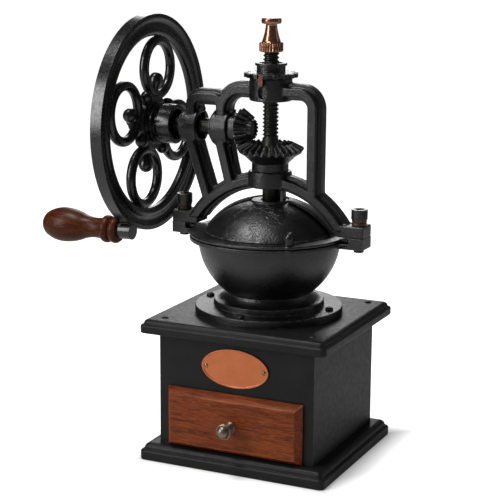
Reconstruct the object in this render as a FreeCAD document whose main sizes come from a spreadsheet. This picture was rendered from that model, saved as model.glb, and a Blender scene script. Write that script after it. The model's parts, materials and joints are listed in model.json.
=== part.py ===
import FreeCAD, Part
import math
import os
import Sketcher

Vector = FreeCAD.Vector
Rotation = FreeCAD.Rotation
Placement = FreeCAD.Placement

# Driving sizes in millimetres and degrees. Heights marked "up" count from the top of the box.
SIZES = (
    # Painted wooden box
    ("base_width", 160.0),
    ("base_depth", 148.0),
    ("base_thickness", 13.5),
    ("base_lip", 7.0),
    ("top_width", 159.0),
    ("top_depth", 147.0),
    ("top_thickness", 11.0),
    ("top_lip", 5.5),
    ("moulding_step", 3.0),
    ("moulding_round", 2.4),
    ("plate_corner", 3.0),
    ("box_width", 133.0),
    ("box_depth", 124.0),
    ("box_height", 91.5),
    ("wall", 8.0),
    ("outlet_radius", 27.0),
    ("wood_screw_radius", 1.6),
    ("wood_screw_head", 3.1),
    ("wood_screw_length", 16.0),
    ("wood_screw_dome", 1.3),
    ("wood_screw_inset", 3.2),
    # Drawer
    ("opening_width", 104.0),
    ("opening_height", 40.0),
    ("opening_sill", 4.5),
    ("drawer_front_width", 116.0),
    ("drawer_front_height", 48.4),
    ("drawer_front_thickness", 8.0),
    ("drawer_front_lift", 0.4),
    ("bevel_width", 4.2),
    ("bevel_depth", 6.2),
    ("drawer_gap", 0.3),
    ("drawer_side_gap", 1.0),
    ("drawer_length", 100.0),
    ("drawer_side_height", 34.0),
    ("drawer_side", 6.0),
    ("drawer_floor", 3.0),
    ("runner_width", 10.0),
    ("knob_ball_radius", 6.5),
    ("knob_stem_radius", 3.2),
    ("knob_ring_radius", 4.6),
    ("knob_ring", 1.6),
    ("knob_reach", 18.5),
    ("knob_screw_radius", 2.0),
    ("knob_screw_head", 3.8),
    ("knob_screw_head_height", 2.2),
    ("knob_screw_grip", 9.0),
    # Blank oval plate
    ("plate_half_width", 28.7),
    ("plate_half_height", 15.5),
    ("plate_thickness", 1.6),
    ("plate_edge", 1.3),
    ("plate_recess", 0.5),
    ("plate_drop", 21.8),
    ("rivet_spread", 24.8),
    ("rivet_radius", 1.0),
    ("rivet_head", 1.9),
    ("rivet_head_height", 0.9),
    ("rivet_length", 5.0),
    # Cast bowl, heights up from the box top
    ("flange_radius", 59.4),
    ("flange_thickness", 6.0),
    ("flange_screw_circle", 52.5),
    ("foot_step_radius", 44.4),
    ("foot_step_top", 11.0),
    ("foot_ledge", 1.4),
    ("foot_sweep", 8.5),
    ("neck_radius", 34.5),
    ("bowl_centre", 62.5),
    ("bowl_radius", 57.2),
    ("bowl_wall", 6.2),
    ("rim_radius", 64.0),
    ("rim_bottom", 59.5),
    ("rim_top", 62.6),
    ("throat_radius", 27.0),
    ("burr_seat_radius", 24.5),
    ("burr_seat", 2.0),
    ("lug_bottom", 58.6),
    ("lug_split", 67.8),
    ("lug_inner", 56.0),
    ("lug_notch", 71.0),
    ("lug_reach", 83.0),
    ("lug_width", 19.0),
    ("bolt_offset", 76.5),
    # Hopper cover and door
    ("cover_inner", 49.0),
    ("cover_thickness", 3.1),
    ("cover_rebate", 0.8),
    ("cover_rebate_radius", 60.0),
    ("ear_reach", 69.6),
    ("ear_width", 11.0),
    ("pin_circle", 58.0),
    ("pin_angle", -51.0),
    ("pin_radius", 3.6),
    ("pin_rise", 9.0),
    ("pin_boss_radius", 7.4),
    ("dome_base", 52.0),
    ("dome_rise", 25.0),
    ("dome_wall", 2.0),
    ("dome_gap", 0.4),
    ("dome_lift", 0.3),
    ("cover_dome_wall", 2.4),
    ("cover_eye", 15.4),
    ("door_overlap", 4.0),
    ("door_hub", 14.6),
    ("door_eye", 7.2),
    ("door_hub_rise", 1.6),
    ("collar_wall_inner", 10.0),
    ("collar_wall_outer", 13.0),
    ("collar_wall_rise", 8.4),
    ("collar_wall_start", -12.0),
    ("collar_wall_turn", 145.0),
    ("nub_circle", 47.0),
    ("nub_angle", -45.0),
    ("nub_radius", 2.5),
    # Cast gear frame
    ("rib_width", 6.7),
    ("rib_depth", 20.0),
    ("web_overhang", 3.2),
    ("web_depth", 9.0),
    ("arch_centre", 32.5),
    ("arch_radius", 74.8),
    ("foot_inner", 60.0),
    ("foot_height", 9.2),
    ("upright_offset", 39.3),
    ("upright_bend", 12.9),
    ("top_bar", 178.0),
    ("shoulder_offset", 39.8),
    ("shoulder_bend", 17.2),
    ("side_bar", 170.4),
    ("side_leg", 66.6),
    ("side_bend", 7.4),
    ("strut_outer_top", 70.6),
    ("strut_outer_foot", 51.0),
    ("strut_inner_top", 43.0),
    ("strut_inner_foot", 31.2),
    ("strut_stretch", 1.07),
    ("web_sink", 11.9),
    ("rib_sink", 6.5),
    ("lower_boss_radius", 17.2),
    ("lower_boss_bottom", 101.5),
    ("lower_boss_top", 114.6),
    ("upper_boss_radius", 16.8),
    ("upper_boss_bottom", 170.0),
    ("upper_boss_top", 188.2),
    ("shaft_height", 146.0),
    ("bearing_radius", 14.0),
    ("bearing_length", 14.4),
    ("bearing_inner", 40.6),
    ("bearing_outer", 67.8),
    ("detent_width", 3.4),
    ("detent_thickness", 1.5),
    ("detent_circle", 20.2),
    ("detent_foot_height", 183.0),
    ("detent_foot", 1.6),
    ("detent_seat", 14.6),
    ("recess_width", 6.6),
    ("recess_bottom", 172.6),
    ("recess_top", 181.6),
    ("recess_depth", 3.4),
    # Clamp bolts
    ("bolt_radius", 4.0),
    ("bolt_head_radius", 6.5),
    ("bolt_head_height", 8.0),
    ("bolt_socket", 3.5),
    ("bolt_socket_depth", 4.0),
    ("bolt_end", 3.0),
    ("washer_radius", 5.9),
    ("washer_thickness", 4.8),
    ("washer_groove", 0.8),
    # Crank wheel, along the shaft from the spindle axis
    ("wheel_offset", 107.4),
    ("wheel_turn", -15.0),
    ("wheel_radius", 88.0),
    ("rim_width", 10.0),
    ("rim_inner", 70.0),
    ("rim_lip", 3.6),
    ("rim_cove", 8.0),
    ("rim_cove_bend", 5.2),
    ("rim_cove_drop", 1.2),
    ("rim_bead_bend", 4.6),
    ("rim_bead_width", 2.4),
    ("ring_circle", 45.0),
    ("ring_radius", 22.2),
    ("ring_bar", 4.0),
    ("hub_radius", 22.0),
    ("hub_half", 4.8),
    ("hub_back_radius", 14.0),
    ("hub_back", 10.6),
    ("hub_step_radius", 17.0),
    ("hub_step", 8.8),
    ("hub_waist_radius", 13.4),
    ("hub_waist", 13.2),
    ("hub_collar_radius", 16.0),
    ("hub_reach", 24.4),
    ("hub_recess_radius", 12.4),
    ("hub_recess", 6.0),
    ("bud_stem", 2.8),
    ("bud_start", 26.0),
    ("bud_radius", 5.8),
    ("bud_length", 13.0),
    ("boss_ball_circle", 25.6),
    ("boss_ball_radius", 5.2),
    ("boss_ball_lift", 3.6),
    ("crank_radius", 92.5),
    ("crank_angle", -10.6),
    ("crank_boss_radius", 6.8),
    ("crank_boss_back", 7.0),
    # Shaft, bushes and grip
    ("shaft_radius", 6.7),
    ("shaft_end", 15.6),
    ("stud_radius", 4.0),
    ("stud_length", 10.5),
    ("nut_height", 6.5),
    ("nut_half_flats", 6.5),
    ("shaft_washer_radius", 10.0),
    ("shaft_washer", 1.6),
    ("bush_radius", 9.4),
    ("bush_flange_radius", 11.6),
    ("bush_flange", 1.4),
    ("running_clearance", 0.06),
    ("seat_clearance", 0.03),
    ("thrust_gap", 0.2),
    ("thrust_washer_radius", 11.2),
    ("thrust_washer", 1.5),
    ("grip_length", 69.4),
    ("grip_gap", 0.4),
    ("grip_face_radius", 9.4),
    ("grip_groove_radius", 8.8),
    ("grip_bead", 7.0),
    ("grip_bead_bend", 4.1),
    ("grip_collar", 8.0),
    ("grip_collar_bend", 4.5),
    ("grip_waist_bend", 32.0),
    ("grip_turn_radius", 10.4),
    ("grip_turn", 33.0),
    ("grip_bulb_radius", 14.1),
    ("grip_bulb", 51.0),
    ("grip_tail_radius", 11.2),
    ("grip_tail", 63.6),
    ("grip_end_bend", 12.0),
    ("grip_end_radius", 6.4),
    ("grip_counterbore", 5.6),
    ("grip_counterbore_depth", 5.0),
    ("grip_bolt_radius", 3.5),
    ("grip_bolt_head", 5.2),
    ("grip_bolt_head_height", 3.4),
    # Bevel gears
    ("gear_module", 2.0),
    ("pinion_teeth", 15.0),
    ("gear_teeth", 26.0),
    ("face_width", 10.0),
    ("pressure_angle", 20.0),
    ("backlash", 0.34),
    ("addendum", 0.92),
    ("dedendum", 1.3),
    ("gap_near", 0.7),
    ("gap_far", 1.35),
    ("pinion_hub_radius", 11.4),
    ("pinion_back", 31.4),
    ("pinion_hub_step", 0.4),
    ("pinion_front", 14.0),
    ("pinion_nose", 7.6),
    ("pinion_pin_radius", 1.5),
    ("pinion_pin_offset", 29.2),
    ("gear_hub_radius", 14.6),
    ("gear_flare_radius", 20.4),
    ("gear_flare_height", 126.2),
    ("gear_hub_top", 120.6),
    ("gear_dish_radius", 13.0),
    ("gear_dish_height", 130.0),
    ("key_width", 3.0),
    ("key_height", 3.0),
    ("key_length", 14.0),
    ("key_bottom", 118.0),
    ("key_sink", 1.4),
    ("keyway_room", 1.9),
    # Spindle, adjuster and burrs
    ("thread_radius", 6.5),
    ("spindle_radius", 6.1),
    ("spindle_shoulder", 115.4),
    ("spindle_top", 213.6),
    ("spindle_collar_radius", 8.6),
    ("spindle_collar", 3.0),
    ("disc_radius", 21.4),
    ("disc_thickness", 3.4),
    ("disc_notches", 16.0),
    ("notch_width", 4.4),
    ("notch_root", 18.0),
    ("adjuster_collar_radius", 11.3),
    ("adjuster_collar", 7.7),
    ("adjuster_lip_radius", 12.6),
    ("adjuster_lip", 2.1),
    ("sleeve_radius", 9.1),
    ("sleeve_bottom", 171.0),
    ("sleeve_top", 195.6),
    ("sleeve_key_width", 3.0),
    ("sleeve_key_rise", 1.6),
    ("sleeve_key_room", 0.1),
    ("thrust_nut_radius", 8.4),
    ("thrust_nut", 2.8),
    ("knob_bottom", 207.9),
    ("knob_knurl_radius", 9.5),
    ("knob_knurl", 7.6),
    ("knob_knurl_edge", 0.7),
    ("knob_flare_radius", 6.7),
    ("knob_waist_radius", 4.9),
    ("knob_waist", 229.4),
    ("knob_flare_bend", 30.0),
    ("knob_head_radius", 7.9),
    ("knob_head_height", 3.4),
    ("knob_top", 234.6),
    ("burr_gap", 1.0),
    ("burr_top", 18.5),
    ("burr_bore_top", 16.0),
    ("burr_bore_bottom", 22.6),
    ("inner_burr_top", 26.0),
    ("burr_teeth", 18.0),
    ("burr_tooth_depth", 1.1),
    ("burr_tooth_width", 2.6),
    ("burr_washer_radius", 10.0),
    ("burr_washer", 1.6),
    ("burr_nut_height", 6.0),
    ("burr_nut_half_flats", 6.5),
    ("spindle_stud_radius", 4.0),
    ("spindle_tail", 1.4),
)

FULL_TURN = 360.0
HALF_TURN = 180.0
SHEET = "Sizes"


class Term:
    """A number together with the sheet formula that gives it."""

    def __init__(self, value, text):
        self.value = float(value)
        self.text = text

    def __add__(self, other):
        other = as_term(other)
        return Term(self.value + other.value, f"({self.text} + {other.text})")

    def __sub__(self, other):
        other = as_term(other)
        return Term(self.value - other.value, f"({self.text} - {other.text})")

    def __mul__(self, other):
        other = as_term(other)
        return Term(self.value * other.value, f"({self.text} * {other.text})")

    def __truediv__(self, other):
        other = as_term(other)
        return Term(self.value / other.value, f"({self.text} / {other.text})")

    def __neg__(self):
        return Term(-self.value, f"(0 - {self.text})")

    def __float__(self):
        return self.value


def as_term(thing):
    """Give a plain number the form of a term."""
    if isinstance(thing, Term):
        return thing
    return Term(thing, f"({float(thing)!r})")


def root(term):
    """Square root of a term."""
    return Term(math.sqrt(term.value), f"sqrt({term.text})")


def leg(hypotenuse, side):
    """Third side of a right triangle."""
    return root(hypotenuse * hypotenuse - side * side)


def level_bend(run, drop):
    """Radius of an arc that starts level and drops so far over a run."""
    return (run * run + drop * drop) / (drop * 2)


class SizeTable:
    """Reads a size by its name as a term."""

    def __init__(self, rows):
        self.values = dict(rows)

    def __getattr__(self, name):
        return Term(self.values[name], f"{SHEET}.{name}")


def write_sheet(document):
    """Put every size in the sheet, one row each, under its name."""
    sheet = document.addObject("Spreadsheet::Sheet", SHEET)
    for row, (name, value) in enumerate(SIZES, start=1):
        sheet.set(f"A{row}", name)
        sheet.set(f"B{row}", repr(value))
        sheet.setAlias(f"B{row}", name)
    document.recompute()
    return sheet


doc = FreeCAD.newDocument("coffee_mill")
write_sheet(doc)
S = SizeTable(SIZES)
pieces = []


# Drawing and shaping helpers

def origin_plane(body, role):
    """One of a body's own reference planes or axes."""
    for feature in body.Origin.OriginFeatures:
        if feature.Role == role:
            return feature
    raise ValueError(role)


def new_body(label):
    """An empty body that will become one piece."""
    body = doc.addObject("PartDesign::Body", label)
    body.Label = label
    return body


def pin_point(sketch, index, position, u, v):
    """Fix one drawn point at (u, v), bound to the sheet."""
    for kind, axis, term in (("DistanceX", -2, u), ("DistanceY", -1, v)):
        if term.value == 0.0:
            sketch.addConstraint(Sketcher.Constraint("PointOnObject", index, position, axis))
            continue
        number = sketch.addConstraint(Sketcher.Constraint(kind, -1, 1, index, position, term.value))
        sketch.setExpression(f"Constraints[{number}]", term.text)


def arc_between(start, end, radius):
    """Short arc from start to end; a positive radius turns left, a negative one right."""
    chord = end - start
    middle = (start + end) * 0.5
    reach = math.sqrt(max(radius * radius - chord.Length * chord.Length / 4.0, 0.0))
    left = Vector(-chord.y, chord.x, 0).normalize()
    centre = middle + left * (reach if radius > 0 else -reach)
    first, last = (start, end) if radius > 0 else (end, start)
    begin = math.atan2(first.y - centre.y, first.x - centre.x)
    finish = math.atan2(last.y - centre.y, last.x - centre.x)
    circle = Part.Circle(centre, Vector(0, 0, 1), abs(radius))
    return Part.ArcOfCircle(circle, begin, finish)


def draw_outline(sketch, corners):
    """Closed outline through corners (u, v) or (u, v, bend of the side that follows)."""
    rows = [tuple(as_term(value) for value in corner) for corner in corners]
    spots = [Vector(row[0].value, row[1].value, 0) for row in rows]
    sides = []
    for number, row in enumerate(rows):
        start = spots[number]
        end = spots[(number + 1) % len(rows)]
        if len(row) == 2:
            index = sketch.addGeometry(Part.LineSegment(start, end), False)
            sides.append((index, 1, 2))
            continue
        bend = row[2]
        index = sketch.addGeometry(arc_between(start, end, bend.value), False)
        sides.append((index, 1, 2) if bend.value > 0 else (index, 2, 1))
    for number, row in enumerate(rows):
        index, start, end = sides[number]
        follower, follower_start, _ = sides[(number + 1) % len(rows)]
        sketch.addConstraint(Sketcher.Constraint("Coincident", index, end, follower, follower_start))
        pin_point(sketch, index, start, row[0], row[1])
        if len(row) == 3:
            bend = row[2]
            width = bend if bend.value > 0 else -bend
            limit = sketch.addConstraint(Sketcher.Constraint("Radius", index, width.value))
            sketch.setExpression(f"Constraints[{limit}]", width.text)


def draw_circle(sketch, u, v, radius):
    """Circle with its centre and radius bound to the sheet."""
    u, v, radius = as_term(u), as_term(v), as_term(radius)
    centre = Vector(u.value, v.value, 0)
    index = sketch.addGeometry(Part.Circle(centre, Vector(0, 0, 1), radius.value), False)
    pin_point(sketch, index, 3, u, v)
    limit = sketch.addConstraint(Sketcher.Constraint("Radius", index, radius.value))
    sketch.setExpression(f"Constraints[{limit}]", radius.text)


def draw(body, role, outlines=(), circles=(), lift=None, swing=None):
    """Sketch on a reference plane, lifted along its normal or swung about its upright axis."""
    sketch = body.newObject("Sketcher::SketchObject", "Outline")
    sketch.AttachmentSupport = [(origin_plane(body, role), "")]
    sketch.MapMode = "FlatFace"
    if swing is not None:
        sketch.AttachmentOffset = Placement(Vector(), Rotation(Vector(0, 1, 0), swing.value))
        sketch.setExpression("AttachmentOffset.Rotation.Angle", swing.text)
    if lift is not None:
        lift = as_term(lift)
        sketch.AttachmentOffset = Placement(Vector(0, 0, lift.value), Rotation())
        sketch.setExpression("AttachmentOffset.Base.z", lift.text)
    for corners in outlines:
        draw_outline(sketch, corners)
    for circle in circles:
        draw_circle(sketch, *circle)
    return sketch


def box_outline(left, low, right, high):
    """Rectangle given by two corners."""
    return [(left, low), (right, low), (right, high), (left, high)]


def round_box(half_width, half_depth, corner):
    """Rectangle about the middle with rounded corners."""
    return [
        (-half_width + corner, -half_depth),
        (half_width - corner, -half_depth, corner),
        (half_width, -half_depth + corner),
        (half_width, half_depth - corner, corner),
        (half_width - corner, half_depth),
        (-half_width + corner, half_depth, corner),
        (-half_width, half_depth - corner),
        (-half_width, -half_depth + corner, corner),
    ]


def extrude(body, kind, sketch, length, both_sides=False, flip=False):
    """Pad or pocket a sketch by a bound length."""
    feature = body.newObject(kind, "Extrusion")
    feature.Profile = sketch
    length = as_term(length)
    feature.Length = length.value
    feature.setExpression("Length", length.text)
    feature.Reversed = flip
    if both_sides:
        feature.SideType = "Symmetric"
    body.Tip = feature
    return feature


def pad(body, sketch, length, both_sides=False, flip=False):
    """Add material."""
    return extrude(body, "PartDesign::Pad", sketch, length, both_sides, flip)


def pocket(body, sketch, length, both_sides=False, flip=False):
    """Take material away, and see that some went."""
    doc.recompute()
    before = body.Shape.Volume
    feature = extrude(body, "PartDesign::Pocket", sketch, length, both_sides, flip)
    doc.recompute()
    if body.Shape.Volume > before - 1e-6:
        raise RuntimeError(f"{body.Label}: a pocket cut nothing")
    return feature


def turn(body, sketch, axis="V_Axis", angle=None):
    """Revolve a sketch about its upright or level axis."""
    feature = body.newObject("PartDesign::Revolution", "Turning")
    feature.Profile = sketch
    feature.ReferenceAxis = (sketch, [axis])
    if angle is None:
        feature.Angle = FULL_TURN
    else:
        feature.Angle = angle.value
        feature.setExpression("Angle", angle.text)
    body.Tip = feature
    return feature


def around(body, originals, count):
    """Repeat features about the body's upright axis."""
    feature = body.newObject("PartDesign::PolarPattern", "Ring")
    feature.Originals = originals
    feature.Axis = (origin_plane(body, "Z_Axis"), [""])
    feature.Angle = FULL_TURN
    count = as_term(count)
    feature.Occurrences = round(count.value)
    if count.text.startswith(SHEET):
        feature.setExpression("Occurrences", count.text)
    body.Tip = feature
    return feature


def round_edges(body, radius, pick):
    """Fillet the edges of the body so far that pick accepts."""
    doc.recompute()
    names = [f"Edge{n}" for n, edge in enumerate(body.Tip.Shape.Edges, start=1) if pick(edge)]
    base = body.Tip
    feature = body.newObject("PartDesign::Fillet", "Rounding")
    feature.Base = (base, names)
    feature.Radius = radius.value
    feature.setExpression("Radius", radius.text)
    body.Tip = feature
    return feature


def level_at(height):
    """Picks the edges that lie wholly at one height."""
    return lambda edge: abs(edge.BoundBox.ZMin - height) < 1e-4 and edge.BoundBox.ZLength < 1e-4


def place(body, x=None, y=None, z=None, rotation=None):
    """Stand a piece where it belongs, bound to the sheet."""
    spot = [0.0 if term is None else as_term(term).value for term in (x, y, z)]
    body.Placement = Placement(Vector(*spot), rotation or Rotation())
    for axis, term in zip("xyz", (x, y, z)):
        if term is not None:
            body.setExpression(f"Placement.Base.{axis}", as_term(term).text)


def keep(piece):
    """Count a document object as a finished piece."""
    pieces.append(piece)
    return piece


def code_piece(label, shape):
    """A piece whose solid is worked out in code from the sizes."""
    piece = doc.addObject("Part::Feature", label)
    piece.Label = label
    piece.Shape = shape
    return keep(piece)


def copies(label, master, places):
    """One node of separate equal solids, each a copy of a master piece."""
    doc.recompute()
    solids = []
    for spot in places:
        solid = master.Shape.copy()
        solid.Placement = spot
        solids.append(solid)
    return code_piece(label, Part.makeCompound(solids))


def polar(radius, angle):
    """Point on a circle as two terms; the angle is a size in degrees."""
    turn_angle = math.radians(angle.value)
    across = Term(radius.value * math.cos(turn_angle), f"({radius.text} * cos({angle.text} * 1 deg))")
    forward = Term(radius.value * math.sin(turn_angle), f"({radius.text} * sin({angle.text} * 1 deg))")
    return across, forward


# Shared heights and fits

BOX_TOP = S.base_thickness + S.box_height + S.top_thickness
SHAFT_Z = BOX_TOP + S.shaft_height
ALONG_SHAFT = Rotation(Vector(0, 1, 0), 90)
HALF = as_term(0.5)
# The flange has four screws, and the wheel four rings with four buds between them.
FOUR = 4
DISC_BOTTOM = S.upper_boss_top + S.thrust_gap
DISC_TOP = DISC_BOTTOM + S.disc_thickness
COVER_TOP = S.rim_top + S.cover_thickness
DOME_RADIUS = (S.dome_base * S.dome_base + S.dome_rise * S.dome_rise) / (S.dome_rise * 2)
DOME_CENTRE = COVER_TOP + S.dome_lift + S.dome_rise - DOME_RADIUS
RIB_HALF = S.rib_width * HALF
WEB_HALF = RIB_HALF + S.web_overhang


# Box

def moulded_plate(label, width, depth, thickness, lip):
    """Board with a rounded lower lip and a smaller rounded upper step."""
    body = new_body(label)
    half_width, half_depth = width * HALF, depth * HALF
    pad(body, draw(body, "XY_Plane", [round_box(half_width, half_depth, S.plate_corner)]), lip)
    round_edges(body, S.moulding_round, level_at(lip.value))
    step = round_box(half_width - S.moulding_step, half_depth - S.moulding_step, S.plate_corner)
    pad(body, draw(body, "XY_Plane", [step]), thickness)
    round_edges(body, S.moulding_round, level_at(thickness.value))
    return body


def base_plate():
    """Foot board that the box stands on."""
    keep(moulded_plate("base_plate", S.base_width, S.base_depth, S.base_thickness, S.base_lip))


def wall_screw_spots():
    """Corner places of the screws that hold the top plate to the walls."""
    across = float(S.box_width * HALF - S.wood_screw_inset)
    forward = float(S.box_depth * HALF - S.wood_screw_inset)
    return [(x, y) for x in (-across, across) for y in (-forward, forward)]


def screw_holes(body, across, forward, lift, depth):
    """Four holes at the corners of a rectangle."""
    radius = S.wood_screw_radius + S.seat_clearance
    spots = [(-across, -forward), (across, -forward), (across, forward), (-across, forward)]
    circles = [(u, v, radius) for u, v in spots]
    pocket(body, draw(body, "XY_Plane", circles=circles, lift=lift), depth)


def top_plate():
    """Lid board with the outlet under the mill and its screw holes."""
    body = moulded_plate("top_plate", S.top_width, S.top_depth, S.top_thickness, S.top_lip)
    outlet = draw(body, "XY_Plane", circles=[(0, 0, S.outlet_radius)], lift=S.top_thickness)
    pocket(body, outlet, S.top_thickness)
    across = S.box_width * HALF - S.wood_screw_inset
    forward = S.box_depth * HALF - S.wood_screw_inset
    screw_holes(body, across, forward, S.top_thickness, S.top_thickness)
    radius = S.wood_screw_radius + S.seat_clearance
    ring = [(S.flange_screw_circle, 0), (0, S.flange_screw_circle)]
    ring += [(-S.flange_screw_circle, 0), (0, -S.flange_screw_circle)]
    circles = [(u, v, radius) for u, v in ring]
    pocket(body, draw(body, "XY_Plane", circles=circles, lift=S.top_thickness), S.top_thickness)
    place(body, z=S.base_thickness + S.box_height)
    keep(body)


def box_panels():
    """Front with the drawer opening, back between the same corners, and two sides between them."""
    half_width, half_depth = S.box_width * HALF, S.box_depth * HALF
    screw_depth = S.wood_screw_length - S.top_thickness
    screw_across = half_width - S.wood_screw_inset
    screw_forward = S.wall - S.wood_screw_inset
    radius = S.wood_screw_radius + S.seat_clearance
    for label, side in (("box_front", -1), ("box_back", 1)):
        body = new_body(label)
        low, high = (-half_depth, -half_depth + S.wall) if side < 0 else (half_depth - S.wall, half_depth)
        pad(body, draw(body, "XY_Plane", [box_outline(-half_width, low, half_width, high)]), S.box_height)
        row = low + S.wood_screw_inset if side < 0 else low + screw_forward
        circles = [(-screw_across, row, radius), (screw_across, row, radius)]
        pocket(body, draw(body, "XY_Plane", circles=circles, lift=S.box_height), screw_depth)
        if side < 0:
            half_opening = S.opening_width * HALF
            opening = box_outline(-half_opening, S.opening_sill, half_opening, S.opening_sill + S.opening_height)
            pocket(body, draw(body, "XZ_Plane", [opening]), S.box_depth * 2, both_sides=True)
            rivets = [(-S.rivet_spread, S.box_height - S.plate_drop, S.rivet_radius + S.seat_clearance)]
            rivets.append((S.rivet_spread, S.box_height - S.plate_drop, S.rivet_radius + S.seat_clearance))
            face = draw(body, "XZ_Plane", circles=rivets, lift=half_depth)
            pocket(body, face, S.rivet_length - S.plate_thickness + S.plate_recess)
        place(body, z=S.base_thickness)
        keep(body)
    for label, side in (("box_left", -1), ("box_right", 1)):
        body = new_body(label)
        left, right = (-half_width, -half_width + S.wall) if side < 0 else (half_width - S.wall, half_width)
        outline = box_outline(left, -half_depth + S.wall, right, half_depth - S.wall)
        pad(body, draw(body, "XY_Plane", [outline]), S.box_height)
        place(body, z=S.base_thickness)
        keep(body)


def drawer_runners():
    """Two strips on the base that the drawer slides on."""
    master = new_body("runner_master")
    depth = S.box_depth - S.wall * 2
    half = S.runner_width * HALF
    outline = box_outline(-half, -depth * HALF, half, depth * HALF)
    pad(master, draw(master, "XY_Plane", [outline]), S.opening_sill)
    offset = float(S.opening_width * HALF - S.drawer_side_gap - S.drawer_side * HALF)
    height = float(S.base_thickness)
    copies("drawer_runners", master, [Placement(Vector(x, 0, height), Rotation()) for x in (-offset, offset)])


def wood_screw(label):
    """Domed screw, its shank below and its head on the level of its origin."""
    body = new_body(label)
    head = S.wood_screw_head
    dome = (head * head + S.wood_screw_dome * S.wood_screw_dome) / (S.wood_screw_dome * 2)
    outline = [
        (0, -S.wood_screw_length),
        (S.wood_screw_radius, -S.wood_screw_length),
        (S.wood_screw_radius, 0),
        (head, 0, dome),
        (0, S.wood_screw_dome),
    ]
    turn(body, draw(body, "XZ_Plane", [outline]))
    return body


def wood_screws():
    """Screws of the top plate and of the mill's flange."""
    master = wood_screw("wood_screw_master")
    top = float(BOX_TOP)
    places = [Placement(Vector(x, y, top), Rotation()) for x, y in wall_screw_spots()]
    copies("top_plate_screws", master, places)
    circle = float(S.flange_screw_circle)
    level = float(BOX_TOP + S.flange_thickness)
    spots = [(circle, 0), (0, circle), (-circle, 0), (0, -circle)]
    copies("flange_screws", master, [Placement(Vector(x, y, level), Rotation()) for x, y in spots])


def oval_plate():
    """Blank oval plate with a thin raised edge, on the front panel."""
    height = S.base_thickness + S.box_height - S.plate_drop
    face = -S.box_depth * HALF
    upright = Rotation(Vector(1, 0, 0), 90)

    def oval(label, shrink, thickness, sink):
        edge = doc.addObject("Part::Ellipse", f"{label}_edge")
        edge.setExpression("MajorRadius", (S.plate_half_width - shrink).text)
        edge.setExpression("MinorRadius", (S.plate_half_height - shrink).text)
        slab = doc.addObject("Part::Extrusion", label)
        slab.Base = edge
        slab.DirMode = "Custom"
        slab.Dir = Vector(0, 0, 1)
        slab.setExpression("LengthFwd", as_term(thickness).text)
        slab.Solid = True
        edge.setExpression("Placement.Base.z", as_term(sink).text)
        return slab

    slab = oval("plate_slab", as_term(0), S.plate_thickness, as_term(0))
    field = oval("plate_field", S.plate_edge, S.plate_recess, S.plate_thickness - S.plate_recess)
    cut = doc.addObject("Part::Cut", "plate_dished")
    cut.Base = slab
    cut.Tool = field
    holes = []
    for name, side in (("plate_hole_left", -1), ("plate_hole_right", 1)):
        hole = doc.addObject("Part::Cylinder", name)
        hole.setExpression("Radius", (S.rivet_radius + S.seat_clearance).text)
        hole.setExpression("Height", S.plate_thickness.text)
        hole.setExpression("Placement.Base.x", (S.rivet_spread * side).text)
        holes.append(hole)
    pair = doc.addObject("Part::MultiFuse", "plate_holes")
    pair.Shapes = holes
    plate = doc.addObject("Part::Cut", "oval_plate")
    plate.Label = "oval_plate"
    plate.Base = cut
    plate.Tool = pair
    place(plate, y=face, z=height, rotation=upright)
    keep(plate)


def plate_rivets():
    """Two small domed rivets through the plate."""
    master = new_body("rivet_master")
    head, rise = S.rivet_head, S.rivet_head_height
    dome = (head * head + rise * rise) / (rise * 2)
    outline = [
        (0, -S.rivet_length),
        (S.rivet_radius, -S.rivet_length),
        (S.rivet_radius, 0),
        (head, 0, dome),
        (0, rise),
    ]
    turn(master, draw(master, "XZ_Plane", [outline]))
    height = float(S.base_thickness + S.box_height - S.plate_drop)
    face = float(-S.box_depth * HALF - S.plate_thickness + S.plate_recess)
    spread = float(S.rivet_spread)
    forward = Rotation(Vector(1, 0, 0), 90)
    copies("plate_rivets", master, [Placement(Vector(x, face, height), forward) for x in (-spread, spread)])


# Drawer

DRAWER_BACK_FACE = -S.box_depth * HALF - S.drawer_gap
DRAWER_FLOOR = S.base_thickness + S.opening_sill + S.drawer_gap
DRAWER_HALF = S.opening_width * HALF - S.drawer_side_gap
DRAWER_FRONT_Z = S.base_thickness + S.drawer_front_lift


def drawer_front():
    """Board with a wide bevelled border, a little proud of the box."""
    body = new_body("drawer_front")
    half, high = S.drawer_front_width * HALF, S.drawer_front_height
    outline = box_outline(-half, 0, half, high)
    square = S.drawer_front_thickness - S.bevel_depth
    pad(body, draw(body, "XZ_Plane", [outline]), square)
    low = draw(body, "XZ_Plane", [outline], lift=square)
    inner = box_outline(-half + S.bevel_width, S.bevel_width, half - S.bevel_width, high - S.bevel_width)
    front = draw(body, "XZ_Plane", [inner], lift=S.drawer_front_thickness)
    bevel = body.newObject("PartDesign::AdditiveLoft", "Bevel")
    bevel.Profile = low
    bevel.Sections = [front]
    bevel.Ruled = True
    body.Tip = bevel
    hole = [(0, high * HALF, S.knob_screw_radius + S.seat_clearance)]
    pocket(body, draw(body, "XZ_Plane", circles=hole), S.drawer_front_thickness * 4, both_sides=True)
    place(body, y=DRAWER_BACK_FACE, z=DRAWER_FRONT_Z)
    keep(body)


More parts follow.
